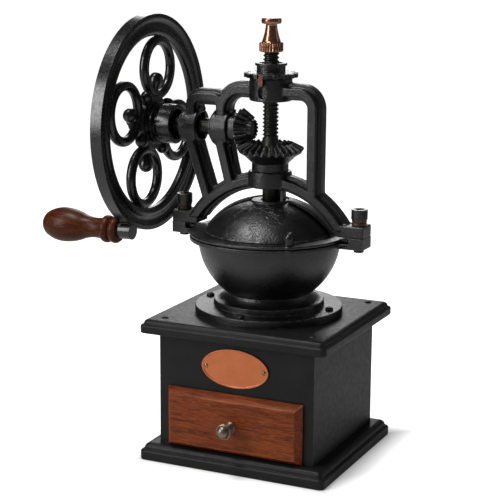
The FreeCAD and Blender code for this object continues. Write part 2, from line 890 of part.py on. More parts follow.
def drawer_box():
    """Two sides, a back and a bottom behind the front."""
    length, side = S.drawer_length, S.drawer_side
    for label, sign in (("drawer_left_side", -1), ("drawer_right_side", 1)):
        body = new_body(label)
        left, right = (-DRAWER_HALF, -DRAWER_HALF + side) if sign < 0 else (DRAWER_HALF - side, DRAWER_HALF)
        pad(body, draw(body, "XY_Plane", [box_outline(left, 0, right, length)]), S.drawer_side_height)
        place(body, y=DRAWER_BACK_FACE, z=DRAWER_FLOOR)
        keep(body)
    body = new_body("drawer_back")
    inner = DRAWER_HALF - side
    pad(body, draw(body, "XY_Plane", [box_outline(-inner, length - side, inner, length)]), S.drawer_side_height)
    place(body, y=DRAWER_BACK_FACE, z=DRAWER_FLOOR)
    keep(body)
    body = new_body("drawer_bottom")
    pad(body, draw(body, "XY_Plane", [box_outline(-inner, 0, inner, length - side)]), S.drawer_floor)
    place(body, y=DRAWER_BACK_FACE, z=DRAWER_FLOOR)
    keep(body)


KNOB_FACE = DRAWER_BACK_FACE - S.drawer_front_thickness
KNOB_Z = DRAWER_FRONT_Z + S.drawer_front_height * HALF


def drawer_knob():
    """Turned knob: a foot ring, a ringed stem and a ball."""
    body = new_body("drawer_knob")
    ball, stem, ring = S.knob_ball_radius, S.knob_stem_radius, S.knob_ring_radius
    centre = S.knob_reach - ball
    join = centre - leg(ball, stem)
    hole = S.knob_screw_radius + S.seat_clearance
    outline = [
        (hole, 0),
        (ring, 0),
        (ring, S.knob_ring),
        (stem, S.knob_ring),
        (stem, join, ball),
        (ball, centre, ball),
        (0, S.knob_reach),
        (0, S.knob_screw_grip),
        (hole, S.knob_screw_grip),
    ]
    turn(body, draw(body, "XZ_Plane", [outline]))
    bead = box_outline(hole, join - S.knob_ring, ring, join)
    turn(body, draw(body, "XZ_Plane", [bead]))
    place(body, y=KNOB_FACE, z=KNOB_Z, rotation=Rotation(Vector(1, 0, 0), 90))
    keep(body)


def drawer_knob_screw():
    """Screw from inside the drawer into the knob."""
    body = new_body("drawer_knob_screw")
    radius, head, rise = S.knob_screw_radius, S.knob_screw_head, S.knob_screw_head_height
    start = -S.drawer_front_thickness
    outline = [
        (0, start - rise),
        (head, start - rise),
        (head, start),
        (radius, start),
        (radius, S.knob_screw_grip),
        (0, S.knob_screw_grip),
    ]
    turn(body, draw(body, "XZ_Plane", [outline]))
    place(body, y=KNOB_FACE, z=KNOB_Z, rotation=Rotation(Vector(1, 0, 0), 90))
    keep(body)


# Mill body

def hopper_bowl():
    """Round bowl on a stepped foot and flange, with two clamp lugs and a pin boss on its rim."""
    body = new_body("hopper_bowl")
    outer, inner = S.bowl_radius, S.bowl_radius - S.bowl_wall
    neck = S.bowl_centre - leg(outer, S.neck_radius)
    throat = S.bowl_centre - leg(inner, S.throat_radius)
    rim_drop = S.bowl_centre - S.rim_bottom
    outline = [
        (S.burr_seat_radius, 0),
        (S.flange_radius, 0),
        (S.flange_radius, S.flange_thickness),
        (S.foot_step_radius, S.flange_thickness),
        (S.foot_step_radius, S.foot_step_top),
        (S.foot_step_radius - S.foot_ledge, S.foot_step_top, -S.foot_sweep),
        (S.neck_radius, neck, outer),
        (leg(outer, rim_drop), S.rim_bottom),
        (S.rim_radius, S.rim_bottom),
        (S.rim_radius, S.rim_top),
        (leg(inner, S.rim_top - S.bowl_centre), S.rim_top, -inner),
        (S.throat_radius, throat),
        (S.throat_radius, S.burr_seat),
        (S.burr_seat_radius, S.burr_seat),
    ]
    turn(body, draw(body, "XZ_Plane", [outline]))
    half = S.lug_width * HALF
    low = [
        box_outline(S.lug_inner, -half, S.lug_reach, half),
        box_outline(-S.lug_reach, -half, -S.lug_inner, half),
    ]
    pad(body, draw(body, "XY_Plane", low, lift=S.lug_bottom), S.rim_top - S.lug_bottom)
    high = [
        box_outline(S.lug_notch, -half, S.lug_reach, half),
        box_outline(-S.lug_reach, -half, -S.lug_notch, half),
    ]
    pad(body, draw(body, "XY_Plane", high, lift=S.rim_top), S.lug_split - S.rim_top)
    across, forward = polar(S.pin_circle, S.pin_angle)
    boss = draw(body, "XY_Plane", circles=[(across, forward, S.pin_boss_radius)], lift=S.rim_bottom)
    pad(body, boss, S.rim_top - S.rim_bottom)
    pin = [(across, forward, S.pin_radius + S.seat_clearance)]
    pocket(body, draw(body, "XY_Plane", circles=pin, lift=S.rim_top), S.rim_top - S.rim_bottom)
    bolt = S.bolt_radius + S.seat_clearance
    holes = [(S.bolt_offset, 0, bolt), (-S.bolt_offset, 0, bolt)]
    pocket(body, draw(body, "XY_Plane", circles=holes, lift=S.lug_split), S.lug_split - S.lug_bottom)
    screw = [(S.flange_screw_circle, 0, S.wood_screw_radius + S.seat_clearance)]
    hole = pocket(body, draw(body, "XY_Plane", circles=screw, lift=S.flange_thickness), S.flange_thickness)
    around(body, [hole], FOUR)
    place(body, z=BOX_TOP)
    keep(body)


def rear_cover():
    """Cover ring with two ears, and the rear half dome cast on it."""
    body = new_body("rear_cover")
    ring = [
        (S.cover_inner, S.rim_top),
        (S.cover_rebate_radius, S.rim_top),
        (S.cover_rebate_radius, S.rim_top + S.cover_rebate),
        (S.rim_radius, S.rim_top + S.cover_rebate),
        (S.rim_radius, COVER_TOP),
        (S.cover_inner, COVER_TOP),
    ]
    turn(body, draw(body, "XZ_Plane", [ring]))
    inner = DOME_RADIUS + S.dome_gap
    outer = inner + S.cover_dome_wall
    sole = COVER_TOP - S.cover_rebate
    drop = sole - DOME_CENTRE
    shell = [
        (leg(inner, drop), sole),
        (leg(outer, drop), sole, outer),
        (S.cover_eye, DOME_CENTRE + leg(outer, S.cover_eye)),
        (S.cover_eye, DOME_CENTRE + leg(inner, S.cover_eye), -inner),
    ]
    turn(body, draw(body, "XZ_Plane", [shell]), angle=as_term(HALF_TURN))
    half = S.ear_width * HALF
    root_at = S.cover_rebate_radius
    ears = [
        box_outline(root_at, -half, S.ear_reach, half),
        box_outline(-S.ear_reach, -half, -root_at, half),
    ]
    floor = S.rim_top + S.cover_rebate
    pad(body, draw(body, "XY_Plane", ears, lift=floor), COVER_TOP - floor)
    across, forward = polar(S.pin_circle, S.pin_angle)
    boss = draw(body, "XY_Plane", circles=[(across, forward, S.pin_boss_radius)], lift=floor)
    pad(body, boss, COVER_TOP - floor)
    pin = [(across, forward, S.pin_radius + S.seat_clearance)]
    pocket(body, draw(body, "XY_Plane", circles=pin, lift=COVER_TOP), S.cover_thickness)
    place(body, z=BOX_TOP)
    keep(body)


def cover_pin():
    """Round-topped dowel through the cover ring and the bowl rim."""
    body = new_body("cover_pin")
    radius = S.pin_radius
    top = COVER_TOP + S.pin_rise
    outline = [
        (0, S.rim_bottom),
        (radius, S.rim_bottom),
        (radius, top - radius, radius),
        (0, top),
    ]
    turn(body, draw(body, "XZ_Plane", [outline]))
    across, forward = polar(S.pin_circle, S.pin_angle)
    place(body, x=across, y=forward, z=BOX_TOP)
    keep(body)


def hopper_door():
    """Front half dome that swings under the rear one, with its hub ring, part collar and nub."""
    body = new_body("hopper_door")
    outer, inner = DOME_RADIUS, DOME_RADIUS - S.dome_wall
    sole = COVER_TOP + S.dome_lift
    drop = sole - DOME_CENTRE
    eye_top = DOME_CENTRE + leg(outer, S.door_hub)
    hub_low = DOME_CENTRE + leg(inner, S.door_hub)
    hub_top = eye_top + S.door_hub_rise
    hub = [
        (S.door_eye, hub_low),
        (S.door_hub, hub_low),
        (S.door_hub, hub_top),
        (S.door_eye, hub_top),
    ]
    turn(body, draw(body, "XZ_Plane", [hub]))
    reach = S.door_hub - S.dome_wall
    shell = [
        (leg(inner, drop), sole),
        (S.dome_base, sole, outer),
        (reach, DOME_CENTRE + leg(outer, reach)),
        (reach, DOME_CENTRE + leg(inner, reach), -inner),
    ]
    start = -(S.door_overlap + HALF_TURN)
    sweep = S.door_overlap * 2 + HALF_TURN
    turn(body, draw(body, "XZ_Plane", [shell], swing=start), angle=sweep)
    wall = box_outline(S.collar_wall_inner, hub_low, S.collar_wall_outer, hub_top + S.collar_wall_rise)
    turn(body, draw(body, "XZ_Plane", [wall], swing=S.collar_wall_start), angle=S.collar_wall_turn)
    across, forward = polar(S.nub_circle, S.nub_angle)
    nub = body.newObject("PartDesign::AdditiveSphere", "Nub")
    nub.AttachmentSupport = [(origin_plane(body, "XY_Plane"), "")]
    nub.MapMode = "FlatFace"
    nub.setExpression("Radius", S.nub_radius.text)
    height = DOME_CENTRE + leg(outer, S.nub_circle)
    for axis, term in zip("xyz", (across, forward, height)):
        nub.setExpression(f"AttachmentOffset.Base.{axis}", term.text)
    body.Tip = nub
    place(body, z=BOX_TOP)
    keep(body)


def burr_grooves(radius_low, radius_high, low, high, outward):
    """Slanted wedges, one for each gap between burr teeth, over a cone from low to high."""
    count = round(float(S.burr_teeth))
    depth, width = float(S.burr_tooth_depth), float(S.burr_tooth_width)
    lean = math.radians(FULL_TURN / count)
    wedges = []
    for number in range(count):
        angle = 2 * math.pi * number / count
        wires = []
        for radius, height, turned in ((radius_low, low, 0.0), (radius_high, high, lean)):
            tip = radius - depth if outward else radius + depth
            mouth = radius + depth if outward else radius - depth
            spread = width / radius
            spots = [(tip, 0.0), (mouth, -spread), (mouth, spread)]
            corners = []
            for length, offset in spots:
                bearing = angle + turned + offset
                corners.append(Vector(length * math.cos(bearing), length * math.sin(bearing), height))
            wires.append(Part.makePolygon(corners + corners[:1]))
        wedges.append(Part.makeLoft(wires, True, True))
    return wedges


def cone_ring(points):
    """Ring turned from (radius, height) points about the upright axis."""
    spots = [Vector(radius, 0, height) for radius, height in points]
    face = Part.Face(Part.makePolygon(spots + spots[:1]))
    return face.revolve(Vector(), Vector(0, 0, 1), FULL_TURN)


def burrs():
    """Fixed outer burr in the throat and the conical inner burr on the spindle."""
    low, high = float(S.burr_seat), float(S.burr_top)
    wide, narrow = float(S.burr_bore_bottom), float(S.burr_bore_top)
    outside = float(S.throat_radius - S.seat_clearance)
    ring = cone_ring([(wide, low), (outside, low), (outside, high), (narrow, high)])
    slope = (wide - narrow) / (high - low)
    margin = float(S.burr_tooth_depth)
    grooves = burr_grooves(wide + slope * margin, narrow - slope * margin, low - margin, high + margin, False)
    outer = ring.cut(Part.makeCompound(grooves))
    piece = code_piece("outer_burr", outer)
    place(piece, z=BOX_TOP)

    gap = float(S.burr_gap)
    tall = float(S.inner_burr_top)
    bore = float(S.spindle_radius + S.seat_clearance)
    foot = wide + slope * low - gap
    crown = foot - slope * tall
    cone = cone_ring([(bore, 0.0), (foot, 0.0), (crown, tall), (bore, tall)])
    grooves = burr_grooves(foot + slope * margin, crown - slope * margin, -margin, tall + margin, True)
    inner = cone.cut(Part.makeCompound(grooves))
    piece = code_piece("inner_burr", inner)
    place(piece, z=BOX_TOP)


# Gear frame

def arch_band(half):
    """Band along the arch, cut level inside the feet."""
    cut = S.lug_split + S.foot_height * HALF
    drop = cut - S.arch_centre
    inner, outer = S.arch_radius - half, S.arch_radius + half
    return [
        (-leg(outer, drop), cut, -outer),
        (leg(outer, drop), cut),
        (leg(inner, drop), cut, inner),
        (-leg(inner, drop), cut),
    ]


def upright_band(half):
    """Band from the upper boss over the right corner and down to the arch."""
    side, bend, bar = S.upright_offset, S.upright_bend, S.top_bar
    low = S.arch_centre + leg(S.arch_radius, side)
    return [
        (0, bar + half),
        (0, bar - half),
        (side - bend, bar - half, -(bend - half)),
        (side - half, bar - bend),
        (side - half, low),
        (side + half, low),
        (side + half, bar - bend, bend + half),
        (side - bend, bar + half),
    ]


def shoulder_band(half, sink):
    """Band from the upper boss to the left and down on to the inner bearing."""
    side, bend, bar = S.shoulder_offset, S.shoulder_bend, S.top_bar
    low = S.shaft_height + sink
    return [
        (0, bar - half),
        (0, bar + half),
        (-side + bend, bar + half, bend + half),
        (-side - half, bar - bend),
        (-side - half, low),
        (-side + half, low),
        (-side + half, bar - bend, -(bend - half)),
        (-side + bend, bar - half),
    ]


def side_band(half, sink):
    """Bridge over the two bearings, bent down at both ends."""
    left, right, bend, bar = -S.side_leg, -S.shoulder_offset, S.side_bend, S.side_bar
    low = S.shaft_height + sink
    return [
        (left + half, low),
        (left + half, bar - bend, -(bend - half)),
        (left + bend, bar - half),
        (right - bend, bar - half, -(bend - half)),
        (right - half, bar - bend),
        (right - half, low),
        (right + half, low),
        (right + half, bar - bend, bend + half),
        (right - bend, bar + half),
        (left + bend, bar + half, bend + half),
        (left - half, bar - bend),
        (left - half, low),
    ]


def strut_band(top, foot, half, sink):
    """Slanted bar from inside a bearing boss down to the arch; top is where it aims at shaft height."""
    low = S.arch_centre + leg(S.arch_radius, foot)
    high = S.shaft_height - sink
    end = foot + (top - foot) * (high - low) / (S.shaft_height - low)
    wide = half * S.strut_stretch
    return [
        (-end - wide, high),
        (-foot - wide, low),
        (-foot + wide, low),
        (-end + wide, high),
    ]


def gear_frame():
    """Cast frame: every member is a narrow deep rib crossed by a wide shallow web."""
    body = new_body("gear_frame")
    for half, depth, sink in ((WEB_HALF, S.web_depth, S.web_sink), (RIB_HALF, S.rib_depth, S.rib_sink)):
        bands = [
            arch_band(half),
            upright_band(half),
            shoulder_band(half, sink),
            side_band(half, sink),
            strut_band(S.strut_outer_top, S.strut_outer_foot, half, sink),
            strut_band(S.strut_inner_top, S.strut_inner_foot, half, sink),
        ]
        for band in bands:
            pad(body, draw(body, "XZ_Plane", [band]), depth, both_sides=True)
    for radius, low, high in (
        (S.lower_boss_radius, S.lower_boss_bottom, S.lower_boss_top),
        (S.upper_boss_radius, S.upper_boss_bottom, S.upper_boss_top),
    ):
        pad(body, draw(body, "XY_Plane", circles=[(0, 0, radius)], lift=low), high - low)
    for centre in (S.bearing_inner, S.bearing_outer):
        start = -centre - S.bearing_length * HALF
        ring = draw(body, "YZ_Plane", circles=[(0, S.shaft_height, S.bearing_radius)], lift=start)
        pad(body, ring, S.bearing_length)
    half = S.lug_width * HALF
    feet = [
        box_outline(S.foot_inner, -half, S.lug_reach, half),
        box_outline(-S.lug_reach, -half, -S.foot_inner, half),
    ]
    pad(body, draw(body, "XY_Plane", feet, lift=S.lug_split), S.foot_height)
    bolt = S.bolt_radius + S.seat_clearance
    holes = [(S.bolt_offset, 0, bolt), (-S.bolt_offset, 0, bolt)]
    top = S.lug_split + S.foot_height
    pocket(body, draw(body, "XY_Plane", circles=holes, lift=top), S.foot_height)
    upper = [(0, 0, S.sleeve_radius + S.running_clearance)]
    height = S.upper_boss_top - S.upper_boss_bottom
    pocket(body, draw(body, "XY_Plane", circles=upper, lift=S.upper_boss_top), height)
    lower = [(0, 0, S.bush_radius)]
    height = S.lower_boss_top - S.lower_boss_bottom + S.rib_width
    pocket(body, draw(body, "XY_Plane", circles=lower, lift=S.lower_boss_top), height)
    bearing = [(0, S.shaft_height, S.bush_radius)]
    length = S.bearing_outer - S.bearing_inner + S.bearing_length
    end = -S.bearing_inner + S.bearing_length * HALF
    pocket(body, draw(body, "YZ_Plane", circles=bearing, lift=end), length)
    keyway_half = S.sleeve_key_width * HALF + S.sleeve_key_room
    keyway_end = S.sleeve_radius + S.sleeve_key_rise + S.sleeve_key_room
    keyway = box_outline(-keyway_half, 0, keyway_half, keyway_end)
    height = S.upper_boss_top - S.upper_boss_bottom
    pocket(body, draw(body, "XY_Plane", [keyway], lift=S.upper_boss_top), height)
    detent_half = S.detent_width * HALF
    slot = box_outline(-detent_half, S.detent_foot_height, detent_half, S.detent_foot_height + S.detent_foot)
    front = S.upper_boss_radius
    pocket(body, draw(body, "XZ_Plane", [slot], lift=front), front - S.detent_seat)
    wide = S.recess_width * HALF
    recess = [
        (-wide, S.recess_bottom + wide, wide),
        (0, S.recess_bottom, wide),
        (wide, S.recess_bottom + wide),
        (wide, S.recess_top - wide, wide),
        (0, S.recess_top, wide),
        (-wide, S.recess_top - wide),
    ]
    pocket(body, draw(body, "XZ_Plane", [recess], lift=front), S.recess_depth)
    place(body, z=BOX_TOP)
    keep(body)


def bush(label, start, length, radius):
    """Flanged bush along the wheel shaft; the flange is on the side of the wheel."""
    body = new_body(label)
    outline = [
        (radius + S.running_clearance, start - S.bush_flange),
        (S.bush_flange_radius, start - S.bush_flange),
        (S.bush_flange_radius, start),
        (S.bush_radius, start),
        (S.bush_radius, start + length),
        (radius + S.running_clearance, start + length),
    ]
    turn(body, draw(body, "XZ_Plane", [outline]))
    place(body, z=SHAFT_Z, rotation=ALONG_SHAFT)
    keep(body)


def bushes():
    """Two shaft bushes in the bearings and one spindle bush in the lower boss."""
    half = S.bearing_length * HALF
    bush("shaft_bush_outer", -S.bearing_outer - half, S.bearing_length, S.shaft_radius)
    bush("shaft_bush_inner", -S.bearing_inner - half, S.bearing_length, S.shaft_radius)
    body = new_body("spindle_bush")
    inner = S.spindle_radius + S.running_clearance
    outline = box_outline(inner, S.lower_boss_bottom, S.bush_radius, S.lower_boss_top)
    turn(body, draw(body, "XZ_Plane", [outline]))
    place(body, z=BOX_TOP)
    keep(body)


def clamp_bolts():
    """Two socket head bolts that hold the frame's feet to the bowl's lugs, with spring washers."""
    master = new_body("clamp_bolt_master")
    top = S.washer_thickness
    head = top + S.bolt_head_height
    low = S.lug_bottom - S.lug_split - S.foot_height - S.bolt_end
    outline = [
        (0, low),
        (S.bolt_radius, low),
        (S.bolt_radius, top),
        (S.bolt_head_radius, top),
        (S.bolt_head_radius, head),
        (0, head),
    ]
    turn(master, draw(master, "XZ_Plane", [outline]))
    hexagon = hexagon_outline(S.bolt_socket)
    pocket(master, draw(master, "XY_Plane", [hexagon], lift=head), S.bolt_socket_depth)
    offset = float(S.bolt_offset)
    level = float(BOX_TOP + S.lug_split + S.foot_height)
    spots = [Placement(Vector(x, 0, level), Rotation()) for x in (-offset, offset)]
    copies("clamp_bolts", master, spots)
    washer = new_body("clamp_washer_master")
    hole = S.bolt_radius + S.seat_clearance
    middle, groove = S.washer_thickness * HALF, S.washer_groove * HALF
    outline = [
        (hole, 0),
        (S.washer_radius, 0),
        (S.washer_radius, middle - groove),
        (S.washer_radius - S.washer_groove, middle),
        (S.washer_radius, middle + groove),
        (S.washer_radius, S.washer_thickness),
        (hole, S.washer_thickness),
    ]
    turn(washer, draw(washer, "XZ_Plane", [outline]))
    copies("clamp_washers", washer, spots)


def hexagon_outline(half_flats):
    """Six corners about the middle, flats at left and right."""
    corner = half_flats * as_term(2 / math.sqrt(3))
    rise = corner * HALF
    return [
        (half_flats, -rise),
        (half_flats, rise),
        (0, corner),
        (-half_flats, rise),
        (-half_flats, -rise),
        (0, -corner),
    ]


def detent_spring():
    """Copper strip that stands in one notch of the disc, its foot let into the boss."""
    body = new_body("detent_spring")
    front, back = -S.detent_circle, -S.detent_circle + S.detent_thickness
    low, high = S.detent_foot_height, DISC_TOP
    outline = [
        (front, low),
        (-S.detent_seat, low),
        (-S.detent_seat, low + S.detent_foot),
        (back, low + S.detent_foot),
        (back, high),
        (front, high),
    ]
    pad(body, draw(body, "YZ_Plane", [outline]), S.detent_width, both_sides=True)
    place(body, z=BOX_TOP)
    keep(body)


# Crank wheel

def rim_outline():
    """Section of the rim: flat tread, lip, cove and an inner bead on both faces."""
    half, outer, inner = S.rim_width * HALF, S.wheel_radius, S.rim_inner
    lip = outer - S.rim_lip
    cove = lip - S.rim_cove
    shelf = half - S.rim_cove_drop
    bead = S.rim_bead_width * HALF
    return [
        (outer, -half),
        (outer, half),
        (lip, half, -S.rim_cove_bend),
        (cove, shelf, S.rim_bead_bend),
        (inner, bead),
        (inner, -bead, S.rim_bead_bend),
        (cove, -shelf, -S.rim_cove_bend),
        (lip, -half),
    ]


def crank_wheel():
    """Cast wheel: rim, hub, four rings, a bud in each ring and a ball between each two."""
    body = new_body("crank_wheel")
    turn(body, draw(body, "XZ_Plane", [rim_outline()]))
    bore = S.shaft_radius + S.seat_clearance
    hub = [
        (bore, -S.hub_back),
        (S.hub_back_radius, -S.hub_back),
        (S.hub_back_radius, -S.hub_half),
        (S.hub_radius, -S.hub_half),
        (S.hub_radius, S.hub_half),
        (S.hub_step_radius, S.hub_half),
        (S.hub_step_radius, S.hub_step),
        (S.hub_waist_radius, S.hub_step),
        (S.hub_waist_radius, S.hub_waist),
        (S.hub_collar_radius, S.hub_waist),
        (S.hub_collar_radius, S.hub_reach),
        (S.hub_recess_radius, S.hub_reach),
        (S.hub_recess_radius, S.hub_reach - S.hub_recess),
        (bore, S.hub_reach - S.hub_recess),
    ]
    ring = body.newObject("PartDesign::AdditiveTorus", "RingBar")
    ring.AttachmentSupport = [(origin_plane(body, "XY_Plane"), "")]
    ring.MapMode = "FlatFace"
    ring.setExpression("Radius1", S.ring_radius.text)
    ring.setExpression("Radius2", S.ring_bar.text)
    ring.setExpression("AttachmentOffset.Base.x", S.ring_circle.text)
    body.Tip = ring
    doc.recompute()
    around(body, [ring], FOUR)
    turn(body, draw(body, "XZ_Plane", [hub]))
    tip = S.bud_start + S.bud_length
    swell = tip - S.bud_radius
    bud = [
        (S.hub_back_radius, 0),
        (tip, 0, S.bud_radius),
        (swell, S.bud_radius),
        (S.bud_start, S.bud_stem),
        (S.hub_back_radius, S.bud_stem),
    ]
    stem = turn(body, draw(body, "XZ_Plane", [bud]), axis="H_Axis")
    around(body, [stem], FOUR)
    ball = body.newObject("PartDesign::AdditiveSphere", "Ball")
    ball.AttachmentSupport = [(origin_plane(body, "XY_Plane"), "")]
    ball.MapMode = "FlatFace"
    ball.setExpression("Radius", S.boss_ball_radius.text)
    diagonal = S.boss_ball_circle * as_term(math.sqrt(0.5))
    for axis, term in zip("xyz", (diagonal, diagonal, S.boss_ball_lift)):
        ball.setExpression(f"AttachmentOffset.Base.{axis}", term.text)
    body.Tip = ball
    doc.recompute()
    around(body, [ball], FOUR)
    across, forward = polar(S.crank_radius, S.crank_angle)
    boss = draw(body, "XY_Plane", circles=[(across, forward, S.crank_boss_radius)], lift=-S.crank_boss_back)
    length = S.crank_boss_back + S.rim_width * HALF
    pad(body, boss, length)
    bolt = [(across, forward, S.grip_bolt_radius + S.seat_clearance)]
    pocket(body, draw(body, "XY_Plane", circles=bolt, lift=S.rim_width * HALF), length)
    turned = Rotation(Vector(0, 0, 1), float(S.wheel_turn))
    place(body, x=-S.wheel_offset, z=SHAFT_Z, rotation=ALONG_SHAFT * turned)
    keep(body)


def wheel_shaft():
    """Shaft through both bearings, with a stud for the wheel nut."""
    body = new_body("wheel_shaft")
    shoulder = -S.wheel_offset - S.hub_back
    outline = [
        (0, shoulder - S.stud_length),
        (S.stud_radius, shoulder - S.stud_length),
        (S.stud_radius, shoulder),
        (S.shaft_radius, shoulder),
        (S.shaft_radius, -S.shaft_end),
        (0, -S.shaft_end),
    ]
    turn(body, draw(body, "XZ_Plane", [outline]))
    pin = [(0, -S.pinion_pin_offset, S.pinion_pin_radius + S.seat_clearance)]
    pocket(body, draw(body, "YZ_Plane", circles=pin), S.shaft_radius * 4, both_sides=True)
    place(body, z=SHAFT_Z, rotation=ALONG_SHAFT)
    keep(body)


def wheel_nut():
    """Washer and hexagon nut on the stud, outside the wheel."""
    seat = -S.wheel_offset - S.hub_back
    hole = S.stud_radius + S.seat_clearance
    body = new_body("wheel_washer")
    outline = box_outline(hole, seat - S.shaft_washer, S.shaft_washer_radius, seat)
    turn(body, draw(body, "XZ_Plane", [outline]))
    place(body, z=SHAFT_Z, rotation=ALONG_SHAFT)
    keep(body)
    body = new_body("wheel_nut")
    start = seat - S.shaft_washer - S.nut_height
    nut = draw(body, "XY_Plane", [hexagon_outline(S.nut_half_flats)], [(0, 0, hole)], lift=start)
    pad(body, nut, S.nut_height)
    place(body, z=SHAFT_Z, rotation=ALONG_SHAFT)
    keep(body)


def thrust_washer():
    """Washer between the inner bearing and the pinion."""
    body = new_body("thrust_washer")
    end = -S.pinion_back
    hole = S.shaft_radius + S.seat_clearance
    outline = box_outline(hole, end - S.thrust_washer, S.thrust_washer_radius, end)
    turn(body, draw(body, "XZ_Plane", [outline]))
    place(body, z=SHAFT_Z, rotation=ALONG_SHAFT)
    keep(body)


def crank_place(body):
    """Stand a piece on the crank pin's axis at the bottom of the wheel."""
    across, forward = polar(S.crank_radius, S.crank_angle + S.wheel_turn)
    place(body, x=-S.wheel_offset, y=forward, z=SHAFT_Z - across, rotation=ALONG_SHAFT)
    keep(body)


def grip_bolt():
    """Bolt from the wheel's boss through the grip, its head sunk in the grip's end."""
    body = new_body("grip_bolt")
    right = S.rim_width * HALF
    face = -S.crank_boss_back - S.grip_gap
    head = face - S.grip_length + S.grip_counterbore_depth - S.grip_gap
    outline = [
        (0, head - S.grip_bolt_head_height),
        (S.grip_bolt_head, head - S.grip_bolt_head_height),
        (S.grip_bolt_head, head),
        (S.grip_bolt_radius, head),
        (S.grip_bolt_radius, right),
        (0, right),
    ]
    turn(body, draw(body, "XZ_Plane", [outline]))
    crank_place(body)


def crank_grip():
    """Turned wooden grip: two beads at the wheel, a waist and a long bulb."""
    body = new_body("crank_grip")
    face = -S.crank_boss_back - S.grip_gap
    end = face - S.grip_length
    bore = S.grip_bolt_radius + S.running_clearance
    second = face - S.grip_bead
    third = second - S.grip_collar
    bulb_bend = level_bend(S.grip_bulb - S.grip_turn, S.grip_bulb_radius - S.grip_turn_radius)
    tail_bend = level_bend(S.grip_tail - S.grip_bulb, S.grip_bulb_radius - S.grip_tail_radius)
    outline = [
        (bore, face),
        (bore, end + S.grip_counterbore_depth),
        (S.grip_counterbore, end + S.grip_counterbore_depth),
        (S.grip_counterbore, end),
        (S.grip_end_radius, end, S.grip_end_bend),
        (S.grip_tail_radius, face - S.grip_tail, tail_bend),
        (S.grip_bulb_radius, face - S.grip_bulb, bulb_bend),
        (S.grip_turn_radius, face - S.grip_turn, -S.grip_waist_bend),
        (S.grip_groove_radius, third, S.grip_collar_bend),
        (S.grip_groove_radius, second, S.grip_bead_bend),
        (S.grip_face_radius, face),
    ]
    turn(body, draw(body, "XZ_Plane", [outline]))
    crank_place(body)


# Bevel gears: straight teeth that run towards the point where the two axes cross

PITCH_CONE = 0.5 * float(S.gear_module) * math.hypot(float(S.pinion_teeth), float(S.gear_teeth))


def tooth_gap(teeth, cone_angle):
    """Half gap between two teeth as (cone angle, half width angle) pairs from root to beyond the tip."""
    module, pressure = float(S.gear_module), math.radians(float(S.pressure_angle))
    pitch = PITCH_CONE * math.tan(cone_angle)
    base = pitch * math.cos(pressure)
    tip = pitch + float(S.addendum) * module
    foot = pitch - float(S.dedendum) * module
    thickness = (math.pi * module - float(S.backlash)) / 2.0

    def involute(radius):
        angle = math.acos(min(base / radius, 1.0))
        return math.tan(angle) - angle

    rows = []
    for radius in (foot, max(base, foot), pitch, 0.5 * (pitch + tip), tip):
        lean = thickness / (2.0 * pitch) + involute(pitch) - involute(max(radius, base))
        half_gap = math.pi / teeth - lean / math.cos(cone_angle)
        rows.append((cone_angle + math.atan((radius - pitch) / PITCH_CONE), half_gap))
    last, before = rows[-1], rows[-2]
    overshoot = (last[0] - before[0], last[1] - before[1])
    rows.append((last[0] + 2 * overshoot[0], last[1] + 2 * overshoot[1]))
    return rows


def gap_cutters(teeth, cone_angle, first, near, far):
    """One ruled wedge for each tooth gap, between two distances from the cone's point."""
    rows = tooth_gap(teeth, cone_angle)
    cutters = []
    for number in range(teeth):
        middle = first + 2 * math.pi * number / teeth
        wires = []
        for distance in (near, far):
            spots = []
            for sign, ordered in ((-1, reversed(rows)), (1, rows)):
                for angle, half_gap in ordered:
                    radius = distance * math.tan(angle)
                    bearing = middle + sign * half_gap
                    spots.append(Vector(radius * math.cos(bearing), radius * math.sin(bearing), -distance))
            wires.append(Part.makePolygon(spots + spots[:1]))
        cutters.append(Part.makeLoft(wires, True, True))
    return cutters


def cone_corner(cone_angle, height, scale):
    """Corner of a gear blank: height over the pitch line, at a share of the cone's length."""
    distance = PITCH_CONE * math.cos(cone_angle) - height * math.sin(cone_angle)
    radius = PITCH_CONE * math.sin(cone_angle) + height * math.cos(cone_angle)
    return radius * scale, -distance * scale


def bevel_gear(teeth, cone_angle, first, rear, front):
    """Blank turned from rear outline, tooth face and front outline, with its tooth gaps cut."""
    module = float(S.gear_module)
    tip, foot = float(S.addendum) * module, -float(S.dedendum) * module
    inner = 1.0 - float(S.face_width) / PITCH_CONE
    outline = rear + [cone_corner(cone_angle, foot, 1.0), cone_corner(cone_angle, tip, 1.0)]
    outline += [cone_corner(cone_angle, tip, inner), cone_corner(cone_angle, foot, inner)] + front
    blank = cone_ring(outline)
    near = PITCH_CONE * math.cos(cone_angle) * inner * float(S.gap_near)
    far = PITCH_CONE * math.cos(cone_angle) * float(S.gap_far)
    teeth_cut = gap_cutters(teeth, cone_angle, first, near, far)
    return blank.cut(Part.makeCompound(teeth_cut))


